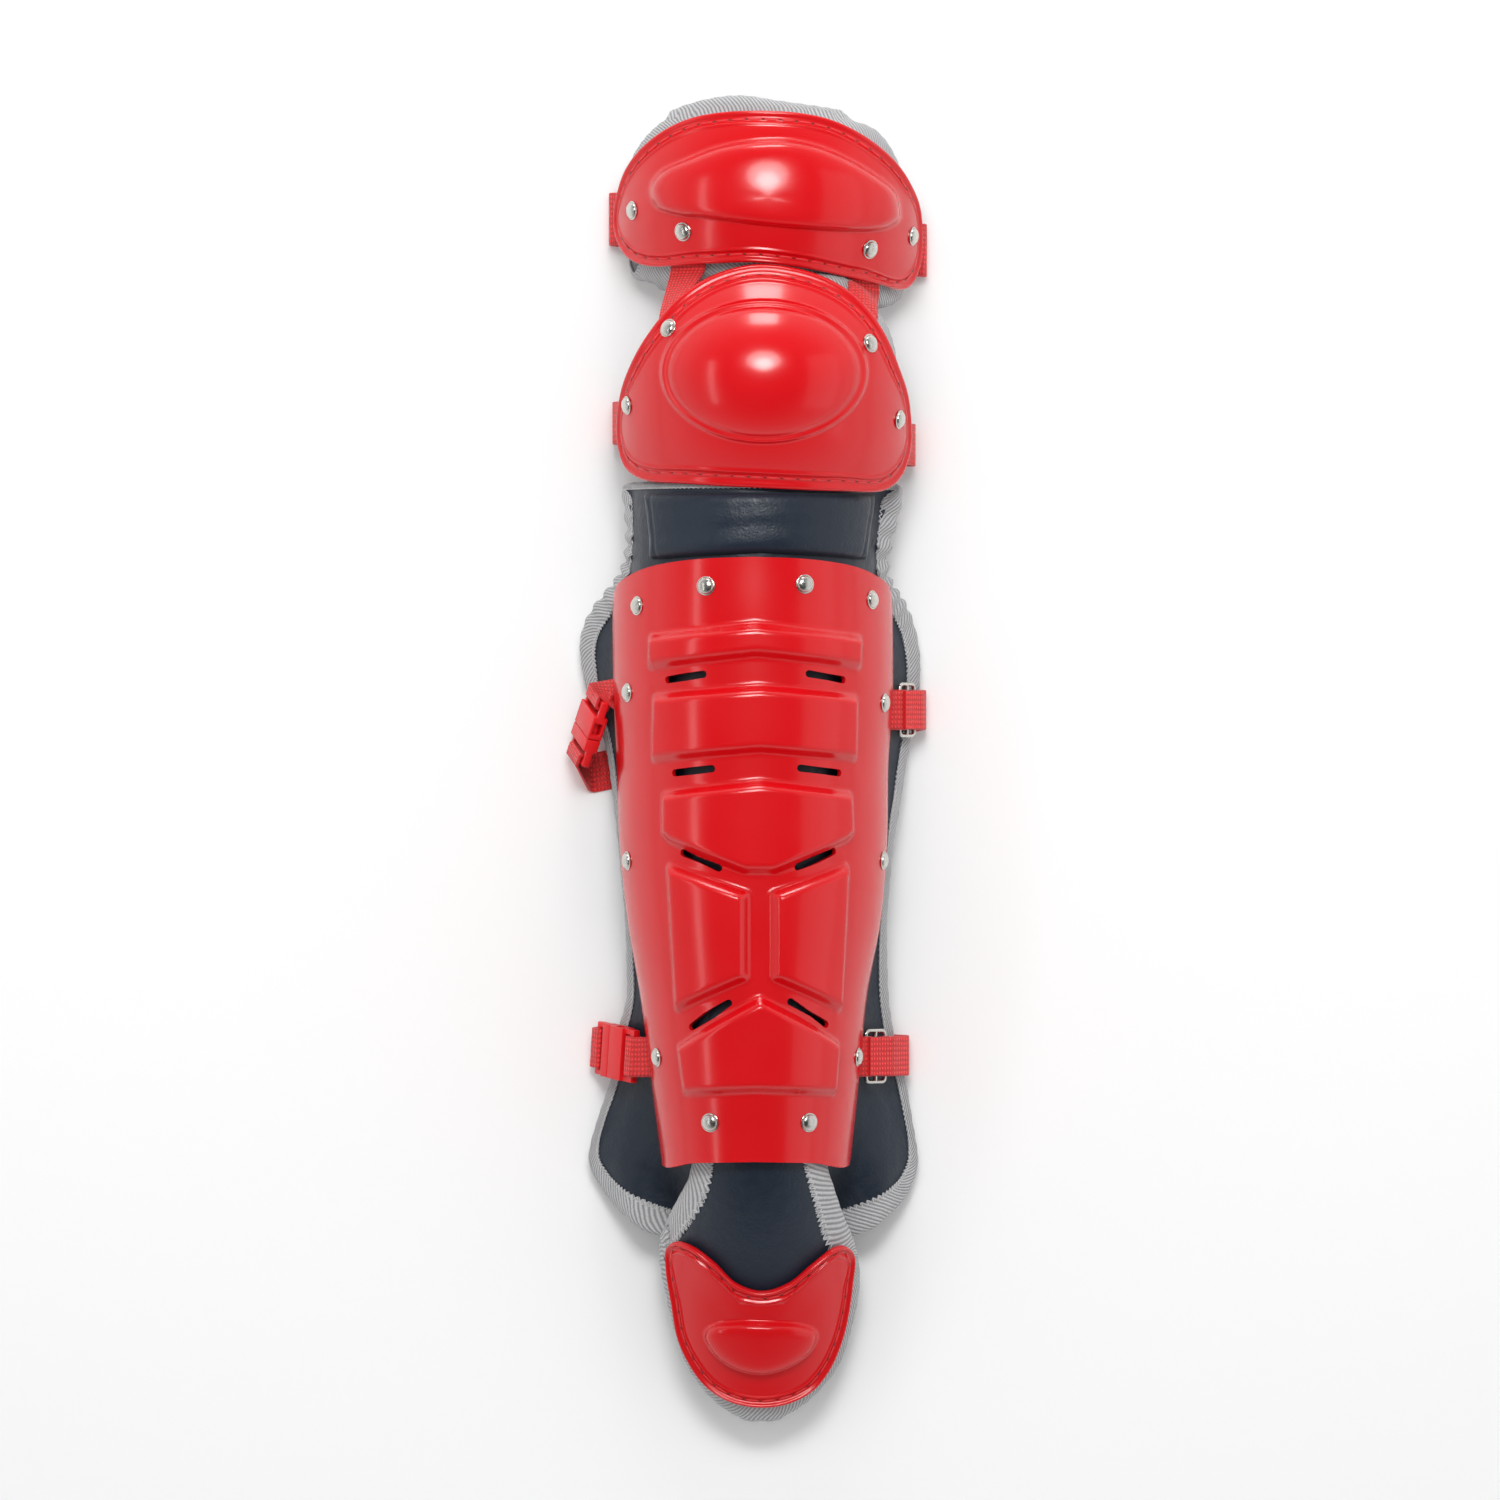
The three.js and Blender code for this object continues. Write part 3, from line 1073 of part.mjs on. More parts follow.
Object.entries(CALF_STRAPS).forEach(([name, strap]) => {
  const y = shinRivets[strap.rows[0]][1];
  const { buckle, slide, left, right } = strap;
  const sectionAt = (side, place) => wingSection(side, (PAD_TOP - place) / PAD_LENGTH);
  const fittingPlace = (side, { past, out, dy }) => {
    const section = sectionAt(side, y + dy);
    return section.at(section.shellEdge + past, WEB_DEPTH - out);
  };
  const edgeX = (side) => SHIN.x + side * shinArc(side, y).radius * Math.sin(shinArc(side, y).angle);
  const socket = fitFrame(fittingPlace(-1, buckle), buckle.along, buckle.width);
  const wire = fitFrame(fittingPlace(1, slide), slide.along, V(0, 1, 0));
  const barRadius = BUCKLE.rail / 2;
  const leftX = edgeX(-1) - left.beyond;
  const rightX = edgeX(1) + right.beyond;
  const tabStart = (side, dy, o, depth) => {
    const section = sectionAt(side, y + dy + o);
    return steps(4).map((f) => {
      const s = section.shellEdge - TAB_HELD + f * (TAB_HELD + TAB_PAST);
      return { p: section.at(s, WEB_DEPTH + depth) };
    });
  };
  add(
    name + "_tab_left",
    webbing(CALF_WEB, (o, depth) => {
      const loop = wrapped(socket, 0, 1, barRadius, o, depth);
      return bent([...tabStart(-1, buckle.dy, o, depth), loop.arrive, loop.over, loop.under, loop.tail(5)]);
    }),
    "webbing",
  );
  add(
    name + "_tab_right",
    webbing(CALF_WEB, (o, depth) => {
      const loop = wrapped(wire, -SLIDE_PITCH, 1, WIRE / 2, o, depth);
      return bent([...tabStart(1, slide.dy, o, depth), loop.arrive, loop.over, loop.under, loop.tail(4)]);
    }),
    "webbing",
  );
  add(
    name + "_calf_strap",
    webbing(CALF_WEB, (o, depth) => {
      const plug = wrapped(socket, BUCKLE.span, -1, barRadius, o, depth);
      const loop = wrapped(wire, SLIDE_PITCH, -1, WIRE / 2, o, depth);
      return bent([
        plug.tail(2),
        plug.under,
        plug.over,
        plug.arrive,
        { p: V(leftX + depth, y + left.dy + o, depth), r: left.corner },
        { p: V(0, y + (left.dy + slide.dy) / 2 + o, depth) },
        { p: V(rightX - depth, y + slide.dy + o, depth), r: right.corner },
        { p: V(rightX - depth, y + slide.dy + o, right.high), r: right.corner },
        loop.arrive,
        loop.over,
        loop.under,
        loop.tail(5),
      ]);
    }),
    "webbing",
  );
  add(name + "_buckle_socket", socketHalf(), "plastic").applyMatrix4(socket.matrix);
  add(name + "_buckle_plug", plugHalf(), "plastic").applyMatrix4(socket.matrix);
  add(name + "_slide", wireSlide(CALF_WEB + 5), "nickel").applyMatrix4(wire.matrix);
});

// The origin is the middle of the bounds, on the floor
const bounds = new THREE.Box3().setFromObject(guard, true);
const middle = bounds.getCenter(V(0, 0, 0));
guard.position.set(-middle.x, -middle.y, -bounds.min.z);
const object = new THREE.Group();
object.add(guard);

export default object;
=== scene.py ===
import math

import bpy
import numpy as np
from mathutils import Matrix, Vector


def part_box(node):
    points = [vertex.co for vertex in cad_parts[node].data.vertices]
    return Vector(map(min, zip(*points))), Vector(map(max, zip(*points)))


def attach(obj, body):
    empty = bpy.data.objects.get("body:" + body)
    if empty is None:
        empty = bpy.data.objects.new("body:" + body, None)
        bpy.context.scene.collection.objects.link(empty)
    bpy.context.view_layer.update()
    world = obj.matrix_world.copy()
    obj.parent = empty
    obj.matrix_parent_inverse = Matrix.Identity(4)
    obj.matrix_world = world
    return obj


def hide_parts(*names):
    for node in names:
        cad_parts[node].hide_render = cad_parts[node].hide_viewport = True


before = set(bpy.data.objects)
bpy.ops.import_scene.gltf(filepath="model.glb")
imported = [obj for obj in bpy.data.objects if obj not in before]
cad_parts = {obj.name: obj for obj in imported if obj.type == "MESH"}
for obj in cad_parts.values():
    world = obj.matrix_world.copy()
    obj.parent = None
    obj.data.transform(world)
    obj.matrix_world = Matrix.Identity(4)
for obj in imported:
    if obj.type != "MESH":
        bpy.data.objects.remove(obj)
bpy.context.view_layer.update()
MM = 0.001

# Walls and layers, each one under the last
SHELL = 2.5
WEBBING = 1.4
VINYL = 1.0
PAD = 10
THIN_PAD = 7
AIR = 0.8
TOUCH = 0.3
WEB_DEPTH = 4.5
VINYL_DEPTH = 6.7
PAD_DEPTH = 8.5
BAND_WIDTH = 11.5
BAND_WALL = 0.9

# Sizes of the four moulded shells
THIGH = dict(width=145, height=83, drop=60, crown=82, end=11, relief=6, x=8.5)
KNEE = dict(width=138, height=107, drop=58, crown=107, relief=4.5, x=6.6)
KNEE_TOP_DROP = 28
KNEE_END_DROP = 22
SHIN = dict(width=132, length=283, drop=56, crown=92, relief=5, slope=5.4, x=1.2)
TOE = dict(width=90, height=78.5, relief=5, x=4.7)
SHIN_TOP = 95
SHIN_END = -188
KNEE_MIDDLE = 179
THIGH_MIDDLE = 263.2
TOE_TOP = -227
TOE_MIDDLE = -266.25

# Fastenings
THIGH_WEB = 25
KNEE_WEB = 20
CALF_WEB = 19
LINK_WEB = 21
RAIL = 3.4
SPAN = 30
WIRE = 2
SLIDE_PITCH = 6
FLOOR_CLEAR = 3
FLOOR_SQUASH = 0.6


def middle_of(low, high):
    return (low + high) / 2


# The forms' millimetres are shifted onto the imported model by the thigh strap's and the shin shell's bounds
strap_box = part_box("thigh_strap")
shin_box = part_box("shin_shell")
SHIFT = np.array(
    [
        middle_of(strap_box[0][0], strap_box[1][0]) / MM - THIGH["x"],
        shin_box[1][1] / MM - SHIN_TOP,
        0.0,
    ]
)


# Materials
def linear(hex_colour, alpha=1.0):
    """An sRGB hex colour as linear RGBA."""
    parts = [int(hex_colour[i : i + 2], 16) / 255 for i in (1, 3, 5)]
    return [c / 12.92 if c <= 0.04045 else ((c + 0.055) / 1.055) ** 2.4 for c in parts] + [alpha]


def put(tree, kind, inputs=None, **settings):
    """A node with its settings, and its inputs set or linked."""
    node = tree.nodes.new(kind)
    for key, value in settings.items():
        setattr(node, key, value)
    for key, value in (inputs or {}).items():
        if isinstance(value, bpy.types.NodeSocket):
            tree.links.new(value, node.inputs[key])
        else:
            node.inputs[key].default_value = value
    return node


def per_metre(pitch_mm):
    """Scale of a noise or cell pattern whose cells are pitch_mm wide."""
    return 1000 / pitch_mm


def bands(pitch_mm):
    """Scale of a wave pattern whose bands are pitch_mm apart; slanting ones are 1.41 times that."""
    return 2 * math.pi / 20 / (pitch_mm * MM)


def new_material(name):
    material = bpy.data.materials.new(name)
    material.use_nodes = True
    tree = material.node_tree
    return material, tree, tree.nodes["Principled BSDF"]


def set_inputs(shader, **values):
    for key, value in values.items():
        shader.inputs[key.replace("_", " ")].default_value = value


def two_tone(tree, factor, low, high, shader):
    """Base colour that drifts between two hex colours."""
    mix = put(tree, "ShaderNodeMix", {0: factor, 6: linear(low), 7: linear(high)}, data_type="RGBA")
    tree.links.new(mix.outputs[2], shader.inputs["Base Color"])


def ranged(tree, value, low, high, shader):
    """Roughness that drifts between two values."""
    span = put(
        tree,
        "ShaderNodeMapRange",
        {"Value": value, "From Min": 0.3, "From Max": 0.7, "To Min": low, "To Max": high},
    )
    tree.links.new(span.outputs[0], shader.inputs["Roughness"])


def dented(tree, shader, *layers):
    """Fine relief from layers of height, strength and depth in millimetres."""
    normal = {}
    for height, strength, depth in layers:
        inputs = {"Height": height, "Strength": strength, "Distance": depth * MM, **normal}
        bump = put(tree, "ShaderNodeBump", inputs)
        normal = {"Normal": bump.outputs[0]}
    tree.links.new(normal["Normal"], shader.inputs["Normal"])


def mottled(tree, *grains):
    """One noise for each pair of grain width in millimetres and detail."""
    place = put(tree, "ShaderNodeTexCoord").outputs["Object"]
    return [
        put(
            tree, "ShaderNodeTexNoise", {"Vector": place, "Scale": per_metre(pitch), "Detail": detail}
        ).outputs["Fac"]
        for pitch, detail in grains
    ]


def glossy_polyethylene():
    """Injection-moulded polyethylene: saturated red, wet-looking gloss with faint orange peel."""
    material, tree, shader = new_material("moulded_gloss_polyethylene")
    cloud, peel, haze = mottled(tree, (45, 3.0), (2.2, 1.0), (25, 1.0))
    two_tone(tree, cloud, "#CB020D", "#D20611", shader)
    ranged(tree, haze, 0.2, 0.24, shader)
    dented(tree, shader, (peel, 0.05, 0.03))
    set_inputs(shader, IOR=1.5, Coat_Weight=0.25, Coat_Roughness=0.1)
    return material


def grained_vinyl():
    """PVC-coated cloth embossed with calf grain: dark navy, satin, with tiny pebbles."""
    material, tree, shader = new_material("embossed_navy_vinyl")
    wrinkle, cloud = mottled(tree, (5, 4.0), (60, 2.0))
    place = put(tree, "ShaderNodeTexCoord").outputs["Object"]
    pebble = put(tree, "ShaderNodeTexVoronoi", {"Vector": place, "Scale": per_metre(1.25)}, feature="F1")
    two_tone(tree, cloud, "#0E1926", "#182535", shader)
    ranged(tree, wrinkle, 0.36, 0.5, shader)
    dented(tree, shader, (pebble.outputs["Distance"], 0.5, 0.16), (wrinkle, 0.5, 0.6))
    set_inputs(shader, IOR=1.48, Sheen_Weight=0.08)
    return material


def ribbed_twill():
    """Woven polyester binding tape: pale grey slanting ribs, quite matt; the thin dark valleys between the
    ribs are painted shade, mixed with random tone of the yarn.
    """
    material, tree, shader = new_material("woven_grey_twill")
    run = put(tree, "ShaderNodeTexCoord").outputs["UV"]
    rib = put(
        tree,
        "ShaderNodeTexWave",
        {"Vector": run, "Scale": bands(1.15), "Distortion": 0.5, "Detail": 1.0},
        bands_direction="DIAGONAL",
    )
    yarn = put(tree, "ShaderNodeTexNoise", {"Vector": run, "Scale": per_metre(0.7), "Detail": 2.0})
    # Colour is darker where the rib relief is low: painted shade in the valleys between the ribs, times the
    # yarn's random tone.
    rib_shade_and_yarn_tone = put(
        tree, "ShaderNodeMath", {0: rib.outputs["Fac"], 1: yarn.outputs["Fac"]}, operation="MULTIPLY"
    )
    ramp = put(tree, "ShaderNodeMapRange", {"Value": rib_shade_and_yarn_tone.outputs[0], "From Min": 0.05, "From Max": 0.4})
    two_tone(tree, ramp.outputs[0], "#88898B", "#BEBEC0", shader)
    dented(tree, shader, (rib.outputs["Fac"], 0.8, 0.3))
    set_inputs(shader, Roughness=0.85, Sheen_Weight=0.15)
    return material


def ribbed_webbing():
    """Woven polypropylene webbing: bright red with ribs across it and a satin glint; its colour is painted
    darker in the rib valleys as shade and lighter on the rib crests as highlight.
    """
    material, tree, shader = new_material("woven_red_webbing")
    run = put(tree, "ShaderNodeTexCoord").outputs["UV"]
    rib = put(
        tree,
        "ShaderNodeTexWave",
        {"Vector": run, "Scale": bands(1.7), "Distortion": 0.25, "Detail": 1.0},
        bands_direction="Y",
    )
    yarn = put(tree, "ShaderNodeTexWave", {"Vector": run, "Scale": bands(2.3)}, bands_direction="X")
    # The weave's relief also drives the colour: darker red in the valleys is painted shade, lighter red on
    # the rib crests is painted highlight.
    weave_relief_and_shade = put(
        tree,
        "ShaderNodeMath",
        {0: rib.outputs["Fac"], 1: yarn.outputs["Fac"], 2: 0.25},
        operation="MULTIPLY_ADD",
    )
    two_tone(tree, weave_relief_and_shade.outputs[0], "#A8060D", "#FF2E30", shader)
    dented(tree, shader, (weave_relief_and_shade.outputs[0], 1.0, 0.5))
    set_inputs(shader, Roughness=0.55, Sheen_Weight=0.1)
    return material


def satin_acetal():
    """Moulded acetal of the buckles: the same red, smooth but satin, finely sparked."""
    material, tree, shader = new_material("moulded_satin_acetal")
    spark, cloud = mottled(tree, (0.5, 2.0), (12, 2.0))
    two_tone(tree, cloud, "#D50C16", "#E1141B", shader)
    ranged(tree, cloud, 0.34, 0.44, shader)
    dented(tree, shader, (spark, 0.15, 0.05))
    return material


def plated_nickel():
    """Nickel-plated steel: bright and mirror-like, with a faint haze from handling."""
    material, tree, shader = new_material("plated_nickel_steel")
    (haze,) = mottled(tree, (1.5, 4.0))
    ranged(tree, haze, 0.2, 0.3, shader)
    two_tone(tree, haze, "#C4C2BA", "#D8D7D2", shader)
    set_inputs(shader, Metallic=1.0)
    return material


def sewing_thread(name, low, high):
    """Bonded polyester thread: twisted, a little shiny."""
    material, tree, shader = new_material(name)
    (twist,) = mottled(tree, (0.8, 1.0))
    two_tone(tree, twist, low, high, shader)
    set_inputs(shader, Roughness=0.5, Sheen_Weight=0.2)
    return material


PLASTIC = glossy_polyethylene()
VINYL_SKIN = grained_vinyl()
TWILL = ribbed_twill()
WEB = ribbed_webbing()
METAL = plated_nickel()
BUCKLE_PLASTIC = satin_acetal()
RED_THREAD = sewing_thread("red_thread", "#C0080F", "#EE2A30")
GREY_THREAD = sewing_thread("grey_thread", "#9C9CA0", "#DCDCDC")
# Dark red for the painted shadow inside the needle holes of the flanges
HOLE_SHADOW = sewing_thread("needle_hole_shadow", "#3A0204", "#5A0508")


# Tables and forms, as the solids have them
def column(table, key, at):
    """Smooth value of one column of a table whose rows are sorted by their first column."""
    rows = np.array(table, float)
    x, y = rows[:, 0], rows[:, key]
    at = np.clip(np.asarray(at, float), x[0], x[-1])
    slope = np.empty(len(x))
    slope[1:-1] = (y[2:] - y[:-2]) / (x[2:] - x[:-2])
    slope[0] = (y[1] - y[0]) / (x[1] - x[0])
    slope[-1] = (y[-1] - y[-2]) / (x[-1] - x[-2])
    i = np.clip(np.searchsorted(x, at, side="right") - 1, 0, len(x) - 2)
    step = x[i + 1] - x[i]
    s = (at - x[i]) / step
    s2, s3 = s * s, s * s * s
    return (
        (2 * s3 - 3 * s2 + 1) * y[i]
        + (s3 - 2 * s2 + s) * step * slope[i]
        + (3 * s2 - 2 * s3) * y[i + 1]
        + (s3 - s2) * step * slope[i + 1]
    )


def sided(table, left, right, side, at):
    return np.where(side < 0, column(table, left, at), column(table, right, at))


def arc_of(half, drop):
    angle = 2 * np.arctan(drop / half)
    return angle, half / np.sin(angle)


class Form:
    """A bent sheet: section(side, y) gives the radius and crest of the arc across it."""

    def __init__(self, x, section):
        self.x = x
        self.section = section

    def on(self, a, y):
        a, y = np.broadcast_arrays(np.asarray(a, float), np.asarray(y, float))
        radius, crest = self.section(np.where(a < 0, -1, 1), y)
        turn = a / radius
        return np.stack([self.x + radius * np.sin(turn), y, crest - radius * (1 - np.cos(turn))], -1)

    def normal(self, a, y):
        step = 0.5
        across = self.on(a + step, y) - self.on(a - step, y)
        along = self.on(a, y + step) - self.on(a, y - step)
        out = np.cross(across, along)
        return out / np.linalg.norm(out, axis=-1, keepdims=True)

    def under(self, a, y, depth):
        depth = np.asarray(depth, float)
        return self.on(a, y) - self.normal(a, y) * depth[..., None]

    def unrolled(self, x, y):
        x = np.asarray(x, float)
        radius, _ = self.section(np.where(x < 0, -1, 1), y)
        return radius * np.arcsin(np.clip(x / radius, -1, 1))


def dome_form(size, middle, crest_drop):
    angle, radius = arc_of(size["width"] / 2, size["drop"])

    def section(side, y):
        share = (y - middle) / (size["height"] / 2)
        return radius + 0 * share, size["crown"] - crest_drop(share)

    form = Form(size["x"], section)
    form.angle, form.radius = angle, radius
    return form


thigh_form = dome_form(THIGH, THIGH_MIDDLE, lambda v: THIGH["end"] * np.minimum(1, v * v))
knee_form = dome_form(
    KNEE, KNEE_MIDDLE, lambda v: np.where(v > 0, KNEE_TOP_DROP, KNEE_END_DROP) * v * v
)

# Sections of the shin shell: place from its top edge, left, right, drop, crest
SHIN_SECTIONS = [
    (0.0, 0.985, 0.985, 1.0, 0.98),
    (0.1, 1.0, 1.0, 1.0, 0.99),
    (0.24, 0.99, 1.0, 0.99, 1.0),
    (0.34, 0.97, 0.97, 0.98, 1.0),
    (0.47, 0.95, 0.96, 0.95, 1.0),
    (0.6, 0.893, 0.915, 0.9, 1.0),
    (0.73, 0.8, 0.815, 0.84, 0.985),
    (0.87, 0.722, 0.758, 0.78, 0.96),
    (1.0, 0.65, 0.7, 0.72, 0.93),
]


def shin_share(y):
    return (SHIN_TOP - y) / SHIN["length"]


def shin_place(share):
    return SHIN_TOP - share * SHIN["length"]


def shin_arc(side, y):
    t = shin_share(y)
    half = sided(SHIN_SECTIONS, 1, 2, side, t) * SHIN["width"] / 2
    return arc_of(half, column(SHIN_SECTIONS, 3, t) * SHIN["drop"])


def shin_crest(y):
    return column(SHIN_SECTIONS, 4, shin_share(y)) * SHIN["crown"]


shin_form = Form(SHIN["x"], lambda side, y: (shin_arc(side, y)[1], shin_crest(y)))

# The tongue over the instep: place down its length, radius across, height of its top
TONGUE_TOP = SHIN_END + 35
TONGUE_END = TOE_TOP - TOE["height"] - 5.6
TONGUE_LENGTH = TONGUE_TOP - TONGUE_END
TONGUE_SECTIONS = [
    (0.0, 40, 82.6),
    (0.22, 40, 79.8),
    (0.34, 43, 74.5),
    (0.46, 48, 65.5),
    (0.61, 52.8, 53),
    (0.77, 52.8, 42.5),
    (0.9, 52.8, 33.5),
    (1.0, 52.8, 28),
]


def tongue_section(side, y):
    t = (TONGUE_TOP - y) / TONGUE_LENGTH
    return column(TONGUE_SECTIONS, 1, t), column(TONGUE_SECTIONS, 2, t)


tongue_form = Form(TOE["x"], tongue_section)


# Building by grid, loop and copy
def to_frame(points):
    return (np.asarray(points, float) + SHIFT) * MM


def shaped_grid(name, columns, rows, place, pattern=None):
    """A grid primitive shaped by place(s, t) in millimetres; pattern(s, t) gives its UV in metres."""
    bpy.ops.object.select_all(action="DESELECT")
    bpy.ops.mesh.primitive_grid_add(x_subdivisions=columns, y_subdivisions=rows, size=2)
    piece = bpy.context.object
    piece.name = name
    mesh = piece.data
    mesh.name = name
    flat = np.empty(len(mesh.vertices) * 3, dtype=np.float32)
    mesh.vertices.foreach_get("co", flat)
    flat = flat.reshape(-1, 3).astype(float)
    s = np.round((flat[:, 0] + 1) / 2 * columns) / columns
    t = np.round((flat[:, 1] + 1) / 2 * rows) / rows
    shaped = to_frame(place(s, t)).astype(np.float32)
    mesh.vertices.foreach_set("co", shaped.ravel())
    if pattern is not None:
        uv = np.asarray(pattern(s, t), np.float32)
        corners = np.empty(len(mesh.loops), dtype=np.int32)
        mesh.loops.foreach_get("vertex_index", corners)
        mesh.uv_layers.active.data.foreach_set("uv", uv[corners].ravel())
    mesh.update()
    return piece


def edit(piece, *steps):
    """Run edit-mode operators on all of a piece."""
    bpy.ops.object.select_all(action="DESELECT")
    piece.select_set(True)
    bpy.context.view_layer.objects.active = piece
    bpy.ops.object.mode_set(mode="EDIT")
    for step, settings in steps:
        bpy.ops.mesh.select_all(action="SELECT")
        step(**settings)
    bpy.ops.object.mode_set(mode="OBJECT")


def closed(piece, gap=0.00002, sharp=38, fill=False):
    """Merge seams and poles, turn faces out, and smooth all but sharp edges."""
    edit(piece, (bpy.ops.mesh.remove_doubles, {"threshold": gap}))
    if fill:
        edit(piece, (bpy.ops.mesh.fill_holes, {"sides": 0}))
    edit(piece, (bpy.ops.mesh.normals_make_consistent, {"inside": False}))
    bpy.ops.object.shade_smooth_by_angle(angle=math.radians(sharp))
    return piece


def modified(piece, kind, **settings):
    """Apply one modifier to a piece."""
    bpy.ops.object.select_all(action="DESELECT")
    piece.select_set(True)
    bpy.context.view_layer.objects.active = piece
    modifier = piece.modifiers.new(kind.title(), kind)
    for key, value in settings.items():
        setattr(modifier, key, value)
    bpy.ops.object.modifier_apply(modifier=modifier.name)


def dress(piece, material, slot, *nodes):
    """Give a piece its material and body, and the solids that it replaces; its slot is not used."""
    piece.data.materials.clear()
    piece.data.materials.append(material)
    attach(piece, "root")
    if nodes:
        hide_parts(*nodes)
    return piece


def evenly(points, count, loop=True):
    """Points at even steps along a line or loop."""
    points = np.asarray(points, float)
    if loop:
        points = np.vstack([points, points[:1]])
    run = np.concatenate([[0], np.cumsum(np.linalg.norm(np.diff(points, axis=0), axis=1))])
    steps = np.linspace(0, run[-1], count, endpoint=not loop)
    return np.stack([np.interp(steps, run, points[:, k]) for k in range(points.shape[1])], -1)


def rounded(points, passes, loop=True):
    """A loop or line with its corners relaxed."""
    for _ in range(passes):
        if loop:
            points = (np.roll(points, 1, 0) + 2 * points + np.roll(points, -1, 0)) / 4
        else:
            points[1:-1] = (points[:-2] + 2 * points[1:-1] + points[2:]) / 4
    return points


def spline_loop(points, per_edge=16):
    """A smooth closed line through points, without loops where they crowd."""
    p = np.asarray(points, float)
    out = []
    for i in range(len(p)):
        p0, p1, p2, p3 = (p[(i + k) % len(p)] for k in (-1, 0, 1, 2))
        pairs = ((p0, p1), (p1, p2), (p2, p3))
        d1, d2, d3 = (max(np.linalg.norm(b - a), 1e-6) ** 0.5 for a, b in pairs)
        m1 = (p1 - p0) / d1 - (p2 - p0) / (d1 + d2) + (p2 - p1) / d2
        m2 = (p2 - p1) / d2 - (p3 - p1) / (d2 + d3) + (p3 - p2) / d3
        m1, m2 = m1 * d2, m2 * d2
        for f in np.arange(per_edge) / per_edge:
            f2, f3 = f * f, f * f * f
            out.append(
                (2 * f3 - 3 * f2 + 1) * p1 + (f3 - 2 * f2 + f) * m1 + (3 * f2 - 2 * f3) * p2 + (f3 - f2) * m2
            )
    return np.array(out)


def inward_of(loop):
    """Unit vectors square to a closed flat line, pointing to its inside."""
    along = np.roll(loop, -1, 0) - np.roll(loop, 1, 0)
    along /= np.linalg.norm(along, axis=1, keepdims=True)
    square = np.stack([-along[:, 1], along[:, 0]], -1)
    area = np.sum(loop[:, 0] * np.roll(loop[:, 1], -1) - np.roll(loop[:, 0], -1) * loop[:, 1])
    return square if area > 0 else -square


def reach_to(outline, centre, angles):
    """Distance from a centre to a closed outline at each angle."""
    gap = outline - centre
    turn = np.arctan2(gap[:, 1], gap[:, 0])
    order = np.argsort(turn)
    return np.interp(angles, turn[order], np.hypot(gap[:, 0], gap[:, 1])[order], period=2 * np.pi)


def one_stitch():
    """One stitch, 1 long and 1 thick along +X, as its points and faces."""
    bpy.ops.object.select_all(action="DESELECT")
    bpy.ops.mesh.primitive_uv_sphere_add(segments=6, ring_count=5, radius=0.5)
    seed = bpy.context.object
    quarter = {"value": math.pi / 2, "orient_axis": "Y", "center_override": (0, 0, 0)}
    edit(seed, (bpy.ops.transform.rotate, quarter))
    points = np.array([v.co for v in seed.data.vertices])
    points[:, 0] = np.sign(points[:, 0]) * np.abs(points[:, 0] * 2) ** 0.6 / 2
    faces = [list(f.vertices) for f in seed.data.polygons]
    bpy.data.objects.remove(seed)
    return points, faces


STITCH_POINTS, STITCH_FACES = one_stitch()


def sewn(name, starts, ends, ups, thick, material, slot, high=0.7):
    """Copies of the stitch from each start to each end, in one piece."""
    starts, ends, ups = (np.asarray(k, float) for k in (starts, ends, ups))
    along = ends - starts
    size = np.linalg.norm(along, axis=1, keepdims=True)
    along = along / size
    side = np.cross(ups, along)
    side /= np.linalg.norm(side, axis=1, keepdims=True)
    up = np.cross(along, side)
    p = STITCH_POINTS
    spots = (
        (starts + ends)[:, None, :] / 2
        + along[:, None, :] * (p[None, :, 0:1] * (size[:, None, :] + thick * 0.5))
        + side[:, None, :] * (p[None, :, 1:2] * thick)
        + up[:, None, :] * (p[None, :, 2:3] * thick * high)
    )
    count = len(p)
    faces = [[i + k * count for i in face] for k in range(len(starts)) for face in STITCH_FACES]
    mesh = bpy.data.meshes.new(name)
    mesh.from_pydata([tuple(v) for v in to_frame(spots.reshape(-1, 3))], [], faces)
    piece = bpy.data.objects.new(name, mesh)
    bpy.context.collection.objects.link(piece)
    closed(piece, gap=0.0000001, sharp=80)
    return dress(piece, material, slot)


# Moulded caps: thigh, knee and toe
THIGH_OUTLINE = [
    (-0.506, 0.92), (-0.812, 0.614), (-0.961, 0.205), (-1.0, -0.227), (-0.948, -0.568), (-0.8, -0.75),
    (-0.44, -0.75), (-0.084, -0.739), (0.208, -0.795), (0.662, -0.943), (0.909, -0.99), (0.994, -0.625),
    (0.994, -0.17), (0.916, 0.227), (0.708, 0.625), (0.37, 0.92), (-0.084, 1.0),
]
THIGH_BOSS = [
    (0.09, 0.67), (-0.273, 0.614), (-0.52, 0.466), (-0.72, 0.295), (-0.773, 0.114), (-0.74, -0.08),
    (-0.636, -0.17), (-0.422, -0.227), (-0.026, -0.318), (0.305, -0.364), (0.636, -0.375), (0.805, -0.318),
    (0.864, -0.205), (0.844, 0.057), (0.72, 0.261), (0.52, 0.466), (0.305, 0.614),
]
KNEE_OUTLINE = [
    (-0.05, 1.0), (-0.333, 0.912), (-0.571, 0.719), (-0.762, 0.439), (-0.898, 0.149), (-0.98, -0.167),
    (-1.0, -0.447), (-0.966, -0.728), (-0.844, -0.886), (-0.503, -0.94), (-0.06, -0.974), (0.517, -1.0),
    (0.83, -0.982), (0.959, -0.8), (1.0, -0.535), (0.986, -0.21), (0.918, 0.096), (0.816, 0.404),
    (0.667, 0.667), (0.483, 0.842), (0.245, 0.956),
]
KNEE_BOSS = dict(width=0.69, height=0.614, rise=0.044)
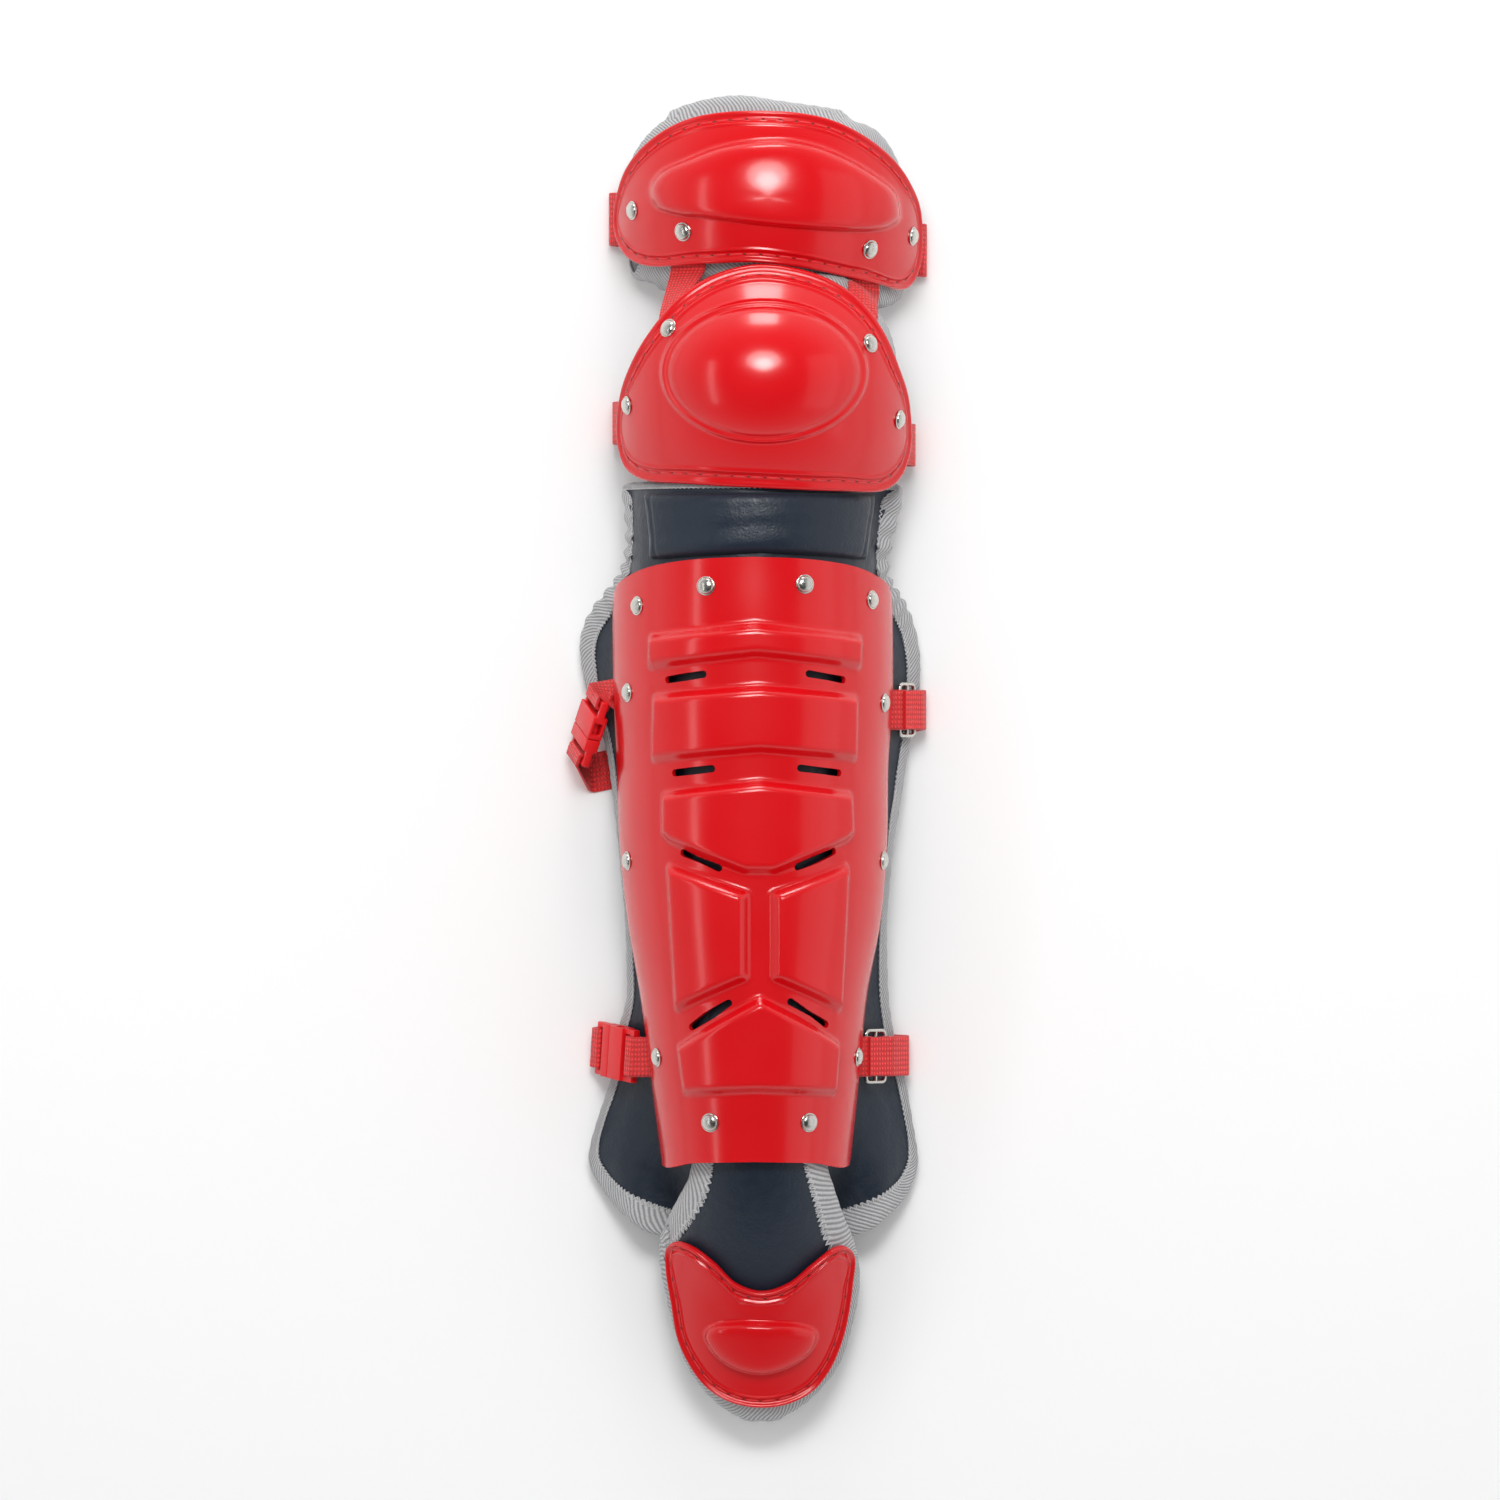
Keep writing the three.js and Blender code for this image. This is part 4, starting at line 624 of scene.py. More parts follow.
TOE_OUTLINE = [
    (-0.73, 0.952), (-0.5, 0.772), (-0.26, 0.521), (0.02, 0.425), (0.31, 0.521), (0.57, 0.749),
    (0.81, 0.94), (0.93, 0.94), (1.0, 0.832), (0.99, 0.497), (0.95, 0.138), (0.89, -0.162),
    (0.76, -0.521), (0.57, -0.796), (0.31, -0.952), (0.0, -1.0), (-0.33, -0.928), (-0.59, -0.737),
    (-0.78, -0.437), (-0.89, -0.138), (-0.95, 0.257), (-1.0, 0.677), (-0.99, 0.916), (-0.91, 1.0),
]
TOE_BOSS = [
    (-0.6, -0.102), (-0.54, 0.018), (-0.26, 0.078), (0.03, 0.078), (0.42, 0.042), (0.6, -0.042),
    (0.62, -0.138), (0.54, -0.305), (0.31, -0.485), (0.03, -0.569), (-0.26, -0.509), (-0.49, -0.329),
]

# Height of a boss, as a share of its relief, by the share of the way to its foot
PLAIN_BOSS = [
    (0, 1.0), (0.5, 0.99), (0.72, 0.94), (0.82, 0.83), (0.89, 0.6), (0.945, 0.27), (0.985, 0.07),
    (1.03, 0), (1.08, 0),
]
RIDGED_BOSS = [
    (0, 1.35), (0.3, 1.27), (0.6, 1.0), (0.78, 0.72), (0.87, 0.47), (0.905, 0.3), (0.93, 0.24),
    (0.955, 0.36), (0.975, 0.38), (1.0, 0.2), (1.03, 0.03), (1.06, 0), (1.1, 0),
]
# Height of a shell's stitched flange by millimetres in from its edge
FLANGE = [
    (0, -1.0), (0.25, -0.3), (0.9, 0.55), (1.9, 0.85), (2.9, 0.5), (3.9, -0.35), (5.2, -0.65), (6.6, -0.6),
    (7.6, -0.1), (8.6, 0.5), (9.3, 0.35), (10.3, 0.0), (11.5, 0),
]
FLANGE_ROWS = 24
EDGE_INSET = 0.9
# Underside of a shell's edge: millimetres in from the edge, height
LIP = [(0.0, -1.9), (0.7, -SHELL - 0.2), (3, -SHELL)]
UNDER_BOSS = (1.06, 1, 0.93, 0.82, 0.6, 0.3, 0)
RAYS = 220
STEEPEST_RAY = 0.42


class Cap:
    """A moulded shell on a form, ringed round a centre, with a boss and a stitched flange."""

    def __init__(self, form, size, middle, outline, boss, centre, boss_rows, depth, narrow):
        self.narrow = narrow
        self.form, self.depth, self.centre = form, depth, np.array(centre, float)
        self.rim = evenly(self.flat(outline, size, middle), RAYS)
        gap = self.rim - self.centre
        self.length = np.hypot(gap[:, 0], gap[:, 1])
        self.ahead = gap / self.length[:, None]
        lean = -np.sum(self.ahead * inward_of(self.rim), axis=1)
        self.square = rounded(np.maximum(STEEPEST_RAY, lean), 10)
        foot = reach_to(self.flat(boss, size, middle), self.centre, np.arctan2(gap[:, 1], gap[:, 0]))
        relief, last = size["relief"], boss_rows[-1][0]
        flange = [(inset * narrow, lift) for inset, lift in FLANGE]
        flange_width = flange[-1][0]
        shares = np.unique(np.concatenate([np.linspace(0, 0.8, 9), np.linspace(0.8, last, 18)]))
        rings = [(foot * x, column(boss_rows, 1, x) * relief) for x in shares]
        inner = self.length - flange_width / self.square
        start = foot * last
        rings += [(start + (inner - start) * f, 0.0) for f in (0.25, 0.5, 0.75)]
        insets = np.concatenate([np.linspace(flange_width, EDGE_INSET, FLANGE_ROWS), [0.6, 0.35, 0.15, 0]])
        rings += [(self.length - inset / self.square, column(flange, 1, inset)) for inset in insets]
        back = LIP + [(flange_width, -SHELL)]
        rings += [(self.length - inset / self.square, lift) for inset, lift in back]
        rings += [(foot * x, column(boss_rows, 1, x) * relief - SHELL) for x in UNDER_BOSS]
        self.distance = np.array([np.broadcast_to(d, (RAYS,)) for d, _ in rings])
        self.lift = np.array([h for _, h in rings], float)

    def flat(self, shares, size, middle):
        shares = np.array(shares, float)
        y = middle + shares[:, 1] * size["height"] / 2
        return spline_loop(np.stack([self.form.unrolled(shares[:, 0] * size["width"] / 2, y), y], -1))

    def at(self, ray, distance, lift):
        spot = self.centre + self.ahead[ray] * distance[..., None]
        return self.form.under(spot[..., 0], spot[..., 1], self.depth - lift)

    def piece(self, name):
        rows = len(self.lift) - 1

        def place(s, t):
            ray = np.round(s * RAYS).astype(int) % RAYS
            ring = np.round(t * rows).astype(int)
            return self.at(ray, self.distance[ring, ray], self.lift[ring])

        return closed(shaped_grid(name, RAYS, rows, place), gap=0.00001, sharp=50)

    def line(self, inset, lift, count):
        """Even points along the flange, with the normals there."""
        ray = np.arange(RAYS)
        distance = self.length - inset / self.square
        low, high = (self.at(ray, distance, np.full(RAYS, lift + up)) for up in (0.0, 1.0))
        points = evenly(np.hstack([low, high]), count)
        up = points[:, 3:] - points[:, :3]
        return points[:, :3], up / np.linalg.norm(up, axis=1, keepdims=True)


knee_turn = np.linspace(0, 2 * np.pi, 24, endpoint=False)
knee_ellipse = np.stack(
    [KNEE_BOSS["width"] * np.cos(knee_turn), KNEE_BOSS["rise"] + KNEE_BOSS["height"] * np.sin(knee_turn)], -1
)
# The toe's outline is a little narrower and higher than its table of shares
TOE_SEEN = {**TOE, "width": TOE["width"] * 0.92}
TOE_RAISE = 1.2
TOE_CENTRE = (0, TOE_MIDDLE - 0.1 * TOE["height"])
TOE_DEPTH = -(SHELL + 1.6 * AIR)
CAPS = {
    "thigh": Cap(
        thigh_form, THIGH, THIGH_MIDDLE, THIGH_OUTLINE, THIGH_BOSS, (0, THIGH_MIDDLE), PLAIN_BOSS, 0, 0.74
    ),
    "knee": Cap(
        knee_form, KNEE, KNEE_MIDDLE, KNEE_OUTLINE, knee_ellipse, (0, KNEE_MIDDLE), RIDGED_BOSS, 0, 0.88
    ),
    "toe": Cap(
        tongue_form, TOE_SEEN, TOE_MIDDLE + TOE_RAISE, TOE_OUTLINE, TOE_BOSS, TOE_CENTRE, PLAIN_BOSS,
        TOE_DEPTH, 0.6,
    ),
}
STITCH_PITCH = 7.7
STITCH_INSET = 5.6
STITCH_LIFT = -0.5
FLANGE_THREAD = 1.1
HOLE_SINK = 0.12
HOLE_SIZE = 0.9
for cap_name, cap in CAPS.items():
    dress(cap.piece(cap_name + "_cap"), PLASTIC, "red_plastic", cap_name + "_shell")
    inset = STITCH_INSET * cap.narrow
    measured = cap.line(inset, STITCH_LIFT, 400)[0]
    stitch_count = int(np.sum(np.linalg.norm(np.diff(measured, axis=0), axis=1)) / STITCH_PITCH)
    spots, ups = cap.line(inset, STITCH_LIFT, stitch_count * 4)
    starts, ends = spots[0::4], spots[3::4]
    sewn(
        cap_name + "_flange_stitches", starts, ends, ups[1::4], FLANGE_THREAD, RED_THREAD, "red_webbing",
        high=0.6,
    )
    # A small dark blob sunk at each needle hole is painted shadow of the hole; no hole is cut in the shell.
    hole = (np.roll(starts, -1, 0) + ends) / 2 - ups[0::4] * HOLE_SINK
    tiny = (ends - starts) * 0.05
    sewn(
        cap_name + "_painted_hole_shadows", hole - tiny, hole + tiny, ups[0::4], HOLE_SIZE, HOLE_SHADOW,
        "red_plastic", high=0.35,
    )


# The shin shell
# How far the shell's upper and lower edges fall back, by the share of the way to its side
SHIN_EDGE = [
    (0.0, 0, 0), (0.27, 0.9, 0.4), (0.5, 3.2, 1), (0.64, 5.6, 2.4), (0.78, 9, 3.3), (0.91, 12.5, 2.6),
    (0.96, 15, 1.6), (1.0, 20.5, -3.5),
]
# Corners of the raised panels and ends of the vents, by shares across and down the shell
PANELS = [
    [(-0.74, 0.125), (0.02, 0.105), (0.78, 0.126), (0.77, 0.191), (0.03, 0.169), (-0.74, 0.192)],
    [(-0.71, 0.223), (0.05, 0.208), (0.75, 0.224), (0.74, 0.343), (0.05, 0.327), (-0.72, 0.345)],
    [(-0.65, 0.385), (0.05, 0.365), (0.71, 0.385), (0.72, 0.46), (0.66, 0.475), (0.16, 0.528),
     (-0.06, 0.528), (-0.59, 0.475), (-0.65, 0.46)],
    [(-0.62, 0.497), (-0.01, 0.551), (-0.01, 0.701), (-0.55, 0.762)],
    [(0.11, 0.551), (0.69, 0.497), (0.63, 0.762), (0.11, 0.701)],
    [(-0.54, 0.806), (0.05, 0.721), (0.62, 0.801), (0.59, 0.895), (0.02, 0.889), (-0.49, 0.895)],
]
VENTS = [
    ((-0.6, 0.203), (-0.35, 0.194)), ((0.4, 0.193), (0.64, 0.203)),
    ((-0.55, 0.357), (-0.29, 0.35)), ((0.34, 0.349), (0.61, 0.357)),
    ((-0.49, 0.489), (-0.24, 0.514)), ((0.32, 0.512), (0.57, 0.487)),
    ((-0.43, 0.777), (-0.17, 0.737)), ((0.27, 0.735), (0.52, 0.773)),
]
VENT_WIDTH = 3.4
VENT_TOP = 7
VENT_DEEP = 16
VENT_END_POINTS = 12
PANEL_CORNER = 3.5
SHIN_COLUMNS = 132
SHIN_ROWS = 270


def shin_flat(points):
    """Points given by shares across and down the shell, unrolled to millimetres."""
    points = np.array(points, float)
    y = shin_place(points[:, 1])
    return np.stack([shin_form.unrolled(points[:, 0] * SHIN["width"] / 2, y), y], -1)


def segment_gap(p, a, b):
    """Distance from points to a segment."""
    edge = b - a
    share = np.clip(((p - a) @ edge) / (edge @ edge), 0, 1)
    nearest = a + share[:, None] * edge
    return np.linalg.norm(p - nearest, axis=1)


def inset_corners(corners, far):
    """A polygon with its sides moved in."""
    inward = inward_sides(corners)
    out = []
    for i in range(len(corners)):
        n0, n1 = inward[i - 1], inward[i]
        out.append(corners[i] + far * (n0 + n1) / (1 + n0 @ n1))
    return np.array(out)


def inward_sides(corners):
    """Unit vectors square to a polygon's sides, pointing to its inside."""
    edge = np.roll(corners, -1, 0) - corners
    edge /= np.linalg.norm(edge, axis=1, keepdims=True)
    square = np.stack([-edge[:, 1], edge[:, 0]], -1)
    x, y = corners[:, 0], corners[:, 1]
    area = np.sum(x * np.roll(y, -1) - np.roll(x, -1) * y)
    return square if area > 0 else -square


def polygon_gap(p, corners, radius):
    """Signed distance to a polygon with rounded corners, below zero inside."""
    small = inset_corners(corners, radius)
    nearest = np.full(len(p), 1e9)
    inside = np.zeros(len(p), bool)
    for i in range(len(small)):
        a, b = small[i], small[(i + 1) % len(small)]
        nearest = np.minimum(nearest, segment_gap(p, a, b))
        crosses = (a[1] > p[:, 1]) != (b[1] > p[:, 1])
        rise = b[1] - a[1] if abs(b[1] - a[1]) > 1e-9 else 1e-9
        inside ^= crosses & (p[:, 0] < (b[0] - a[0]) * (p[:, 1] - a[1]) / rise + a[0])
    return np.where(inside, -nearest, nearest) - radius


PANEL_PLACES = [shin_flat(panel) for panel in PANELS]
VENT_PLACES = [shin_flat(vent) for vent in VENTS]


def panel_height(p):
    """Relief of the shin shell at unrolled places."""
    height = np.zeros(len(p))
    for corners in PANEL_PLACES:
        share = np.clip(-polygon_gap(p, corners, PANEL_CORNER) / SHIN["slope"], 0, 1)
        ramp = 0.75 * share * share * (3 - 2 * share) + 0.25 * share
        height = np.maximum(height, ramp * SHIN["relief"])
    return height


def shin_spots(s, t):
    """Unrolled places of the shell's grid, between its two curved ends."""
    u = 2 * s - 1
    share = np.abs(u)
    high = SHIN_TOP - column(SHIN_EDGE, 1, share)
    low = SHIN_END - column(SHIN_EDGE, 2, share)
    y = high + (low - high) * t
    angle, radius = shin_arc(u, y)
    return np.stack([u * angle * radius, y], -1)


def vent_tool(a, b):
    """A long rounded plug that stands through the shell where a vent is cut."""
    ahead = (b - a) / np.linalg.norm(b - a)
    square = np.array([-ahead[1], ahead[0]])
    turns = np.linspace(-math.pi / 2, math.pi / 2, VENT_END_POINTS)
    round_end = [VENT_WIDTH / 2 * (ahead * math.cos(w) + square * math.sin(w)) for w in turns]
    ring = np.array([b + spoke for spoke in round_end] + [a - spoke for spoke in round_end])

    def place(s, t):
        p = ring[np.round(s * len(ring)).astype(int) % len(ring)]
        return shin_form.under(p[:, 0], p[:, 1], VENT_TOP - VENT_DEEP * t)

    return closed(shaped_grid("vent_tool", len(ring), 1, place), fill=True)


def shin_cap():
    """The shin shell: a bent sheet with raised panels, given its wall and its cut vents."""

    def place(s, t):
        p = shin_spots(s, t)
        return shin_form.under(p[:, 0], p[:, 1], -panel_height(p))

    shell = shaped_grid("shin_cap", SHIN_COLUMNS, SHIN_ROWS, place)
    closed(shell, gap=0.00001)
    modified(shell, "SOLIDIFY", thickness=SHELL * MM, offset=-1, use_even_offset=False)
    for a, b in VENT_PLACES:
        tool = vent_tool(a, b)
        modified(shell, "BOOLEAN", object=tool, operation="DIFFERENCE", solver="EXACT")
        bpy.data.objects.remove(tool)
    bpy.ops.object.shade_smooth_by_angle(angle=math.radians(50))
    return shell


dress(shin_cap(), PLASTIC, "red_plastic", "shin_shell")


# Rivets
DOME_RADIUS = 3.85
DOME_FOOT = 0.55
DOME_RISE = 1.75
RIVET_SIDES = 36
RIVET_SEAT = -0.1
# Radius and height of a rivet's section: round dome, thin rim, shank
DOME_TURNS = [k * math.pi / 20 for k in range(11)]
DOME = [(DOME_RADIUS * math.sin(w), DOME_FOOT + DOME_RISE * math.cos(w)) for w in DOME_TURNS]
RIVET_PROFILE = DOME + [
    (4.2, 0.52), (4.45, 0.3), (4.42, 0.0), (3.4, -0.1), (1.9, -0.15), (1.9, -3.4), (0, -3.4),
]
THIGH_RIVETS = [(-0.88, -0.114), (-0.55, -0.375), (0.66, -0.568), (0.94, -0.398)]
KNEE_RIVETS = [(-0.65, 0.43), (0.72, 0.298), (-0.93, -0.237), (0.92, -0.36)]
SHIN_RIVETS = [
    (-0.82, 0.08), (-0.33, 0.048), (0.37, 0.045), (0.85, 0.07), (-0.89, 0.224), (0.94, 0.241),
    (-0.89, 0.503), (0.93, 0.503), (-0.68, 0.829), (0.75, 0.829), (-0.3, 0.935), (0.4, 0.935),
]


def rivet_pattern():
    """One domed rivet standing on the origin."""
    table = np.array(RIVET_PROFILE)

    def place(s, t):
        k = np.round(t * (len(table) - 1)).astype(int)
        turn = 2 * np.pi * (np.round(s * RIVET_SIDES) % RIVET_SIDES) / RIVET_SIDES
        return np.stack([table[k, 0] * np.cos(turn), table[k, 0] * np.sin(turn), table[k, 1]], -1) - SHIFT

    return closed(shaped_grid("rivet_pattern", RIVET_SIDES, len(table) - 1, place), sharp=40)


def set_rivets(pattern, prefix, form, places, half_width):
    """Copies of the rivet, square to a form at places of share across and place along."""
    for i, (u, y) in enumerate(places):
        a = form.unrolled(u * half_width, y)
        seat = to_frame(form.under(a, y, RIVET_SEAT))
        turn = Vector((0, 0, 1)).rotation_difference(Vector(form.normal(a, y)))
        piece = pattern.copy()
        piece.data = pattern.data.copy()
        piece.name = f"{prefix}_rivet_{i + 1}_head"
        bpy.context.collection.objects.link(piece)
        piece.data.transform(Matrix.Translation(Vector(seat)) @ turn.to_matrix().to_4x4())
        dress(piece, METAL, "nickel", f"{prefix}_rivet_{i + 1}")


rivet = rivet_pattern()
for prefix, form, size, middle, places in (
    ("thigh", thigh_form, THIGH, THIGH_MIDDLE, THIGH_RIVETS),
    ("knee", knee_form, KNEE, KNEE_MIDDLE, KNEE_RIVETS),
):
    spots = [(u, middle + v * size["height"] / 2) for u, v in places]
    set_rivets(rivet, prefix, form, spots, size["width"] / 2)
set_rivets(rivet, "shin", shin_form, [(u, shin_place(v)) for u, v in SHIN_RIVETS], SHIN["width"] / 2)
bpy.data.objects.remove(rivet)


# Pads, their vinyl faces and their twill binding
PAD_TOP = KNEE_MIDDLE - 0.89 * KNEE["height"] / 2 - 2 * TOUCH
PAD_LENGTH = 359
WING = 82
# Wings: place down the pad, left width, right width, height of the edge, share of the shell's arc
WINGS = [
    (0.0, 0.75, 0.86, 31, 0.9), (0.021, 0.756, 0.865, 32, 0.9), (0.074, 0.73, 0.817, 30, 0.9),
    (0.107, 0.751, 0.788, 27, 0.92), (0.126, 0.8, 0.805, 24, 0.94), (0.153, 0.902, 0.885, 17, 0.94),
    (0.179, 0.976, 0.939, 11, 0.95), (0.205, 1.008, 0.966, 8, 0.95), (0.232, 1.006, 0.98, 6, 0.95),
    (0.285, 0.955, 0.967, 5, 0.95), (0.337, 0.866, 0.92, 9, 0.95), (0.364, 0.836, 0.897, 12, 0.95),
    (0.416, 0.805, 0.862, 17, 0.94), (0.469, 0.777, 0.822, 21, 0.94), (0.574, 0.737, 0.78, 25, 0.93),
    (0.627, 0.732, 0.783, 25, 0.94), (0.68, 0.734, 0.793, 20, 0.95), (0.732, 0.799, 0.829, 13, 0.95),
    (0.785, 0.828, 0.89, 8, 0.95), (0.838, 0.902, 0.927, 5, 0.82), (0.891, 0.955, 0.963, 5, 0.7),
    (0.943, 0.902, 0.951, 6, 0.7), (1.0, 0.85, 0.9, 8, 0.7),
]
LOBES = [
    (0.0, 0.838), (0.2, 0.851), (0.27, 0.905), (0.33, 0.945), (0.44, 0.974), (0.58, 1.0), (0.72, 0.99),
    (0.86, 0.963), (0.95, 0.937), (1.0, 0.9),
]
LAYERS = [
    (0.0, 0, 1), (0.755, 0, 1), (0.785, 1, 0.75), (0.86, 1.05, 0.7), (0.93, 1.8, 0.6), (1.0, 2.5, 0.6),
]
TONGUE_ROOM = VINYL + AIR + THIN_PAD + AIR + 1.6
SINK_FROM = 0.55
SINK_TO = 0.8


class WingSection:
    """The main pad's cross-sections at many places at once."""

    def __init__(self, side, y):
        self.side, self.y = side, y
        share = (PAD_TOP - y) / PAD_LENGTH
        angle, radius = shin_arc(side, y)
        crest = shin_crest(y)
        self.r = radius - PAD_DEPTH
        leave = angle * column(WINGS, 4, share)
        self.base = crest - radius
        start = np.stack([self.r * np.sin(leave), self.base + self.r * np.cos(leave)], -1)
        tip = np.stack([sided(WINGS, 1, 2, side, share) * WING, column(WINGS, 3, share)], -1)
        pull = 0.5 * np.linalg.norm(tip - start, axis=-1)
        bend = start + np.stack([np.cos(leave), -np.sin(leave)], -1) * pull[..., None]
        f = np.linspace(0, 1, 49)[:, None, None]
        self.curve = (1 - f) ** 2 * start + 2 * f * (1 - f) * bend + f * f * tip
        steps = np.linalg.norm(np.diff(self.curve, axis=0), axis=-1)
        self.run = np.concatenate([np.zeros((1,) + steps.shape[1:]), np.cumsum(steps, axis=0)])
        self.arc_length = self.r * leave
        self.full = self.arc_length + self.run[-1]
        self.shell_edge = self.r * angle

    def at(self, s, depth, sink=0.0):
        far = np.clip(s - self.arc_length, 0, self.run[-1])
        k = np.clip(np.sum(self.run <= far, axis=0) - 1, 0, len(self.run) - 2)
        n = np.arange(len(far))
        step = self.run[k + 1, n] - self.run[k, n]
        share = (far - self.run[k, n]) / np.maximum(step, 1e-9)
        p, q = self.curve[k, n], self.curve[k + 1, n]
        ahead = (q - p) / np.linalg.norm(q - p, axis=-1, keepdims=True)
        turn = s / self.r
        on_arc = (s <= self.arc_length)[:, None]
        square = np.stack([-ahead[:, 1], ahead[:, 0]], -1)
        out = np.where(on_arc, np.stack([np.sin(turn), np.cos(turn)], -1), square)
        flat = np.stack([self.r * np.sin(turn), self.base + self.r * np.cos(turn)], -1)
        spot = np.where(on_arc, flat, p + (q - p) * share[:, None])
        spot = spot + out * (PAD_DEPTH - depth - sink)[:, None]
        floor = FLOOR_CLEAR + FLOOR_SQUASH * np.maximum(0, PAD_DEPTH + PAD - depth)
        return np.stack([SHIN["x"] + self.side * spot[:, 0], self.y, np.maximum(floor, spot[:, 1])], -1)


def main_spot(a, y, depth):
    """A place in the main pad by unrolled millimetres and depth under the shin shell's face."""
    a, y, depth = (np.array(k, float) for k in np.broadcast_arrays(a, y, depth))
    side = np.where(a < 0, -1, 1)
    section = WingSection(side, y)
    share = (PAD_TOP - y) / PAD_LENGTH
    across = np.abs(a) / section.full
    fade = np.clip((across - SINK_FROM) / (SINK_TO - SINK_FROM), 0, 1)
    fade = 1 - fade * fade * (3 - 2 * fade)
    sink = np.maximum(0, column(LAYERS, 1, share)) * TONGUE_ROOM * fade
    return section.at(np.abs(a), depth, sink)


def main_rim():
    """Rim of the main pad: straight top, wings, and the two ankle lobes."""
    count = 160
    steps = np.linspace(-1, 1, count)
    down = np.linspace(0, 0.9, count)
    side = np.ones(count)
    across = np.concatenate([steps, side, steps[::-1], -side])
    share = np.concatenate([np.zeros(count), down, column(LOBES, 1, np.abs(steps[::-1])), down[::-1]])
    y = PAD_TOP - share * PAD_LENGTH
    full = WingSection(np.where(across < 0, -1, 1), y).full
    return rounded(evenly(np.stack([across * full, y], -1), 900), 10)


def table_rim(edges, half_width, middle, half_height):
    """Rim of a pad whose upper and lower edges are tables of shares."""
    steps = np.linspace(-1, 1, 200)
    high = np.stack([steps * half_width, middle + column(edges, 1, steps) * half_height], -1)
    low = np.stack([steps * half_width, middle + column(edges, 2, steps) * half_height], -1)
    return rounded(evenly(np.vstack([high, low[::-1]]), 500), 20)


THIGH_PAD_EDGES = [
    (-1.0, 0.02, -0.45), (-0.9, 0.36, -0.84), (-0.76, 0.57, -0.97), (-0.5, 0.91, -1.04), (-0.28, 1.1, -1.0),
    (-0.1, 1.16, -0.95), (0.14, 1.07, -1.0), (0.45, 0.875, -1.13), (0.65, 0.625, -1.22), (0.78, 0.36, -1.18),
    (0.9, 0.12, -1.08), (1.0, -0.1, -0.75),
]
KNEE_LOW = -0.89
KNEE_PAD_EDGES = [
    (-1.0, -0.25, -0.7), (-0.92, 0.0, -0.84), (-0.8, 0.2, -0.88), (-0.62, 0.46, KNEE_LOW),
    (-0.42, 0.75, KNEE_LOW), (-0.05, 0.97, KNEE_LOW), (0.32, 0.97, KNEE_LOW), (0.5, 0.86, KNEE_LOW),
    (0.62, 0.64, KNEE_LOW), (0.74, 0.5, KNEE_LOW), (0.9, 0.2, -0.88), (1.0, -0.1, -0.7),
]
TONGUE_EDGES = [
    (0.0, 0.65, 0.63), (0.2, 0.69, 0.66), (0.3, 0.76, 0.75), (0.39, 0.97, 0.88), (0.46, 1.065, 1.0),
    (0.53, 1.07, 1.06), (0.62, 1.0, 1.05), (0.74, 0.91, 0.97), (0.84, 0.8, 0.86), (0.92, 0.6, 0.64),
    (0.97, 0.4, 0.42), (1.0, 0.2, 0.22),
]


def tongue_rim():
    t = np.linspace(0, 1, 220)
    y = TONGUE_TOP - t * TONGUE_LENGTH
    left = tongue_form.unrolled(-column(TONGUE_EDGES, 1, t) * TOE["width"] / 2, y)
    right = tongue_form.unrolled(column(TONGUE_EDGES, 2, t) * TOE["width"] / 2, y)
    loop = np.vstack([np.stack([left, y], -1), np.stack([right, y], -1)[::-1]])
    return rounded(evenly(loop, 500), 16)


# Gathers and scalloped edge of the binding, and the zigzag stitches along it
PUCKER_PITCH = 8.3
TOOTH = 0.55
ZIGZAG_PITCH = 2.4
ZIGZAG_REACH = 1.3
ZIGZAG_THREAD = 0.55


